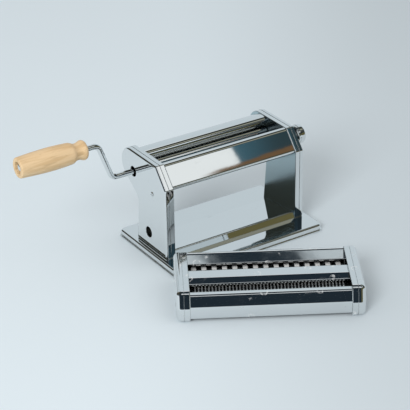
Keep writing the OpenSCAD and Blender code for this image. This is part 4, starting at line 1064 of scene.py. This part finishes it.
class PASTA_OT_stage(bpy.types.Operator):
    """Pale table, soft studio light and the camera"""

    bl_idname = "pasta.stage"
    bl_label = "Stage"

    def execute(self, context):
        self.table(context.scene.pasta_finishes.table)
        self.surroundings(context.scene)
        self.lamps(context.scene)
        self.camera(context.scene)
        context.scene.view_settings.view_transform = "Standard"
        return {"FINISHED"}

    def table(self, colour):
        """A plain matt table, with painted shade that makes it a little darker to the right in front."""
        half, paler, painted_shade, turn = 4.0, 1.02, 0.82, 0.75
        table = new_object("table", ([(x * half, y * half, 0) for x, y in RECTANGLE], [(0, 1, 2, 3)]))
        material, tree, shader = new_material("pale_table")
        where = object_place(tree)
        tone = mix_colour(tree, noise(tree, where, scale=3, detail=2), colour, darker(colour, paler))
        x, y = split(tree, where)[:2]
        across = math_node(tree, "SUBTRACT", x, product(tree, y, turn))
        # Painted shade: the table's colour darkens towards the right and the front
        tone = mix_colour(tree, ramp(tree, across, -0.15, 0.3), tone, darker(colour, painted_shade))
        tree.links.new(tone, shader.inputs["Base Color"])
        shader.inputs["Roughness"].default_value = 1
        shader.inputs["Specular IOR Level"].default_value = 0
        table.data.materials.append(material)

    def surroundings(self, scene):
        """What the chrome mirrors: a pale room low down, dark overhead, bright panels, tinted fields."""
        world = bpy.data.worlds.new("studio")
        world.use_nodes = True
        scene.world = world
        tree = world.node_tree
        direction = tree.nodes.new("ShaderNodeTexCoord").outputs["Generated"]
        x, y, z = split(tree, direction)

        def fade(part, clear, full):
            return ramp(tree, part, clear, full)

        def panel(*sizes):
            return far_panel(tree, direction, *sizes)

        # The pale room reaches higher at the back than in front
        back, front = fade(y, -0.3, 0.3), fade(y, -0.1, -0.4)
        ceiling = math_node(tree, "SUBTRACT", product(tree, back, 0.85), 0.05)
        low = fade(math_node(tree, "SUBTRACT", z, ceiling), 0.06, -0.06)
        overhead = product(tree, fade(x, 0.25, 0.4), fade(z, 0.6, 0.72))
        gloom = mix_colour(tree, overhead, (0.016, 0.026, 0.036), (0.036, 0.04, 0.032))
        seen = mix_colour(tree, low, gloom, (0.62, 0.70, 0.745))

        # Each field or panel covers those before it
        blue = mix_colour(tree, fade(x, 0.5, 0.53), (0.056, 0.13, 0.17), (0.031, 0.056, 0.066))
        ends = math_node(tree, "ADD", fade(x, -0.143, -0.155), fade(x, -0.1, -0.085), True)
        slanted = math_node(tree, "ADD", z, product(tree, x, 0.407))
        dark, grey = (0.045, 0.045, 0.035), (0.31, 0.31, 0.25)
        olive, brown = (0.13, 0.118, 0.052), (0.17, 0.10, 0.05)
        white, diffuser, pale = (0.9, 0.93, 0.95), (0.93, 0.96, 0.96), (0.56, 0.62, 0.65)
        for mask, colour in (
            (product(tree, fade(x, -0.02, -0.2), fade(z, 0.02, 0.1), back), dark),
            (product(tree, front, fade(x, 0.1, 0.4), fade(z, 0.76, 0.68), fade(z, 0.45, 0.55)), blue),
            (product(tree, ends, fade(z, 0.895, 0.905), fade(y, -0.28, -0.3)), pale),
            (product(tree, front, fade(x, -0.25, 0.0), fade(z, 0.5, 0.2)), olive),
            (panel(-27.4, 56.4, 0.12, 0.2, 0.04), grey),
            (panel(54, 58, 0.22, 0.13, 0.02), white),
            (panel(-115, 47, 0.24, 0.13, 0.01), white),
            (panel(-78, 43.5, 0.402, 0.096, 0.0012), diffuser),
            (product(tree, front, fade(z, 0.55, 0.6), fade(x, 0.478, 0.495),
                     fade(slanted, 0.85065, 0.85035)), brown),
        ):
            seen = mix_colour(tree, mask, seen, colour)

        # Matt surfaces are lit evenly, and the camera sees a plain backdrop
        even, backdrop = (0.68, 0.675, 0.67), (0.672, 0.753, 0.799)
        ray = tree.nodes.new("ShaderNodeLightPath").outputs
        colour = mix_colour(tree, ray["Is Glossy Ray"], even, seen)
        colour = mix_colour(tree, ray["Is Camera Ray"], colour, backdrop)
        tree.links.new(colour, tree.nodes["Background"].inputs["Color"])

    def lamps(self, scene):
        for name, at, size, power in (("window", (-2.6, -1.7, 2.0), 1.4, 70.0),
                                      ("fill", (0.55, -0.75, 1.1), 0.9, 1.0)):
            lamp = bpy.data.lights.new(name, "AREA")
            lamp.size = size
            lamp.energy = power
            holder = bpy.data.objects.new(name, lamp)
            holder.location = at
            holder.rotation_euler = (-Vector(at)).to_track_quat("-Z", "Y").to_euler()
            holder.visible_glossy = False
            scene.collection.objects.link(holder)

    def camera(self, scene):
        """The photograph's viewpoint, with the lens worked out for a frame 410 pixels wide."""
        eye, aim, roll = Vector((-0.82449, -1.25709, 0.81644)), Vector((-0.0311, -0.0176, 0.05)), -0.92
        sensor, frame_px, focal_px = 36.0, 410, 1592.36
        lens = bpy.data.cameras.new("camera")
        lens.sensor_width = sensor
        lens.lens = sensor * focal_px / frame_px
        lens.clip_start, lens.clip_end = 0.05, 50
        holder = bpy.data.objects.new("camera", lens)
        aimed = (aim - eye).to_track_quat("-Z", "Y").to_matrix().to_4x4()
        holder.matrix_world = Matrix.Translation(eye) @ aimed @ Matrix.Rotation(math.radians(roll), 4, "Z")
        scene.collection.objects.link(holder)
        scene.camera = holder


class PASTA_PT_sidebar(bpy.types.Panel):
    """Lists the pieces of the pasta machine"""

    bl_label = "Pasta machine"
    bl_idname = "PASTA_PT_sidebar"
    bl_space_type = "VIEW_3D"
    bl_region_type = "UI"
    bl_category = "Pasta machine"

    def draw(self, context):
        for operator in PIECES:
            self.layout.operator(operator.bl_idname)


PIECES = (PASTA_OT_inner_parts, PASTA_OT_base, PASTA_OT_panels, PASTA_OT_covers, PASTA_OT_rollers,
          PASTA_OT_knob, PASTA_OT_crank, PASTA_OT_cutter_shell, PASTA_OT_cutters, PASTA_OT_stage)
GROUPS = {"pasta_machine": MachineSizes, "pasta_crank": CrankSizes, "pasta_cutter": CutterSizes,
          "pasta_finishes": Finishes}


def register():
    for name, group in GROUPS.items():
        bpy.utils.register_class(group)
        setattr(bpy.types.Scene, name, bpy.props.PointerProperty(type=group))
    for made in PIECES + (PASTA_PT_sidebar,):
        bpy.utils.register_class(made)


def unregister():
    for made in (PASTA_PT_sidebar,) + PIECES[::-1]:
        bpy.utils.unregister_class(made)
    for name, group in GROUPS.items():
        delattr(bpy.types.Scene, name)
        bpy.utils.unregister_class(group)


def main():
    register()
    bpy.ops.pasta.inner_parts()
    bpy.ops.pasta.base()
    bpy.ops.pasta.panels()
    bpy.ops.pasta.covers()
    bpy.ops.pasta.rollers()
    bpy.ops.pasta.knob()
    bpy.ops.pasta.crank()
    bpy.ops.pasta.cutter_shell()
    bpy.ops.pasta.cutters()
    bpy.ops.pasta.stage()


if __name__ == "__main__":
    main()
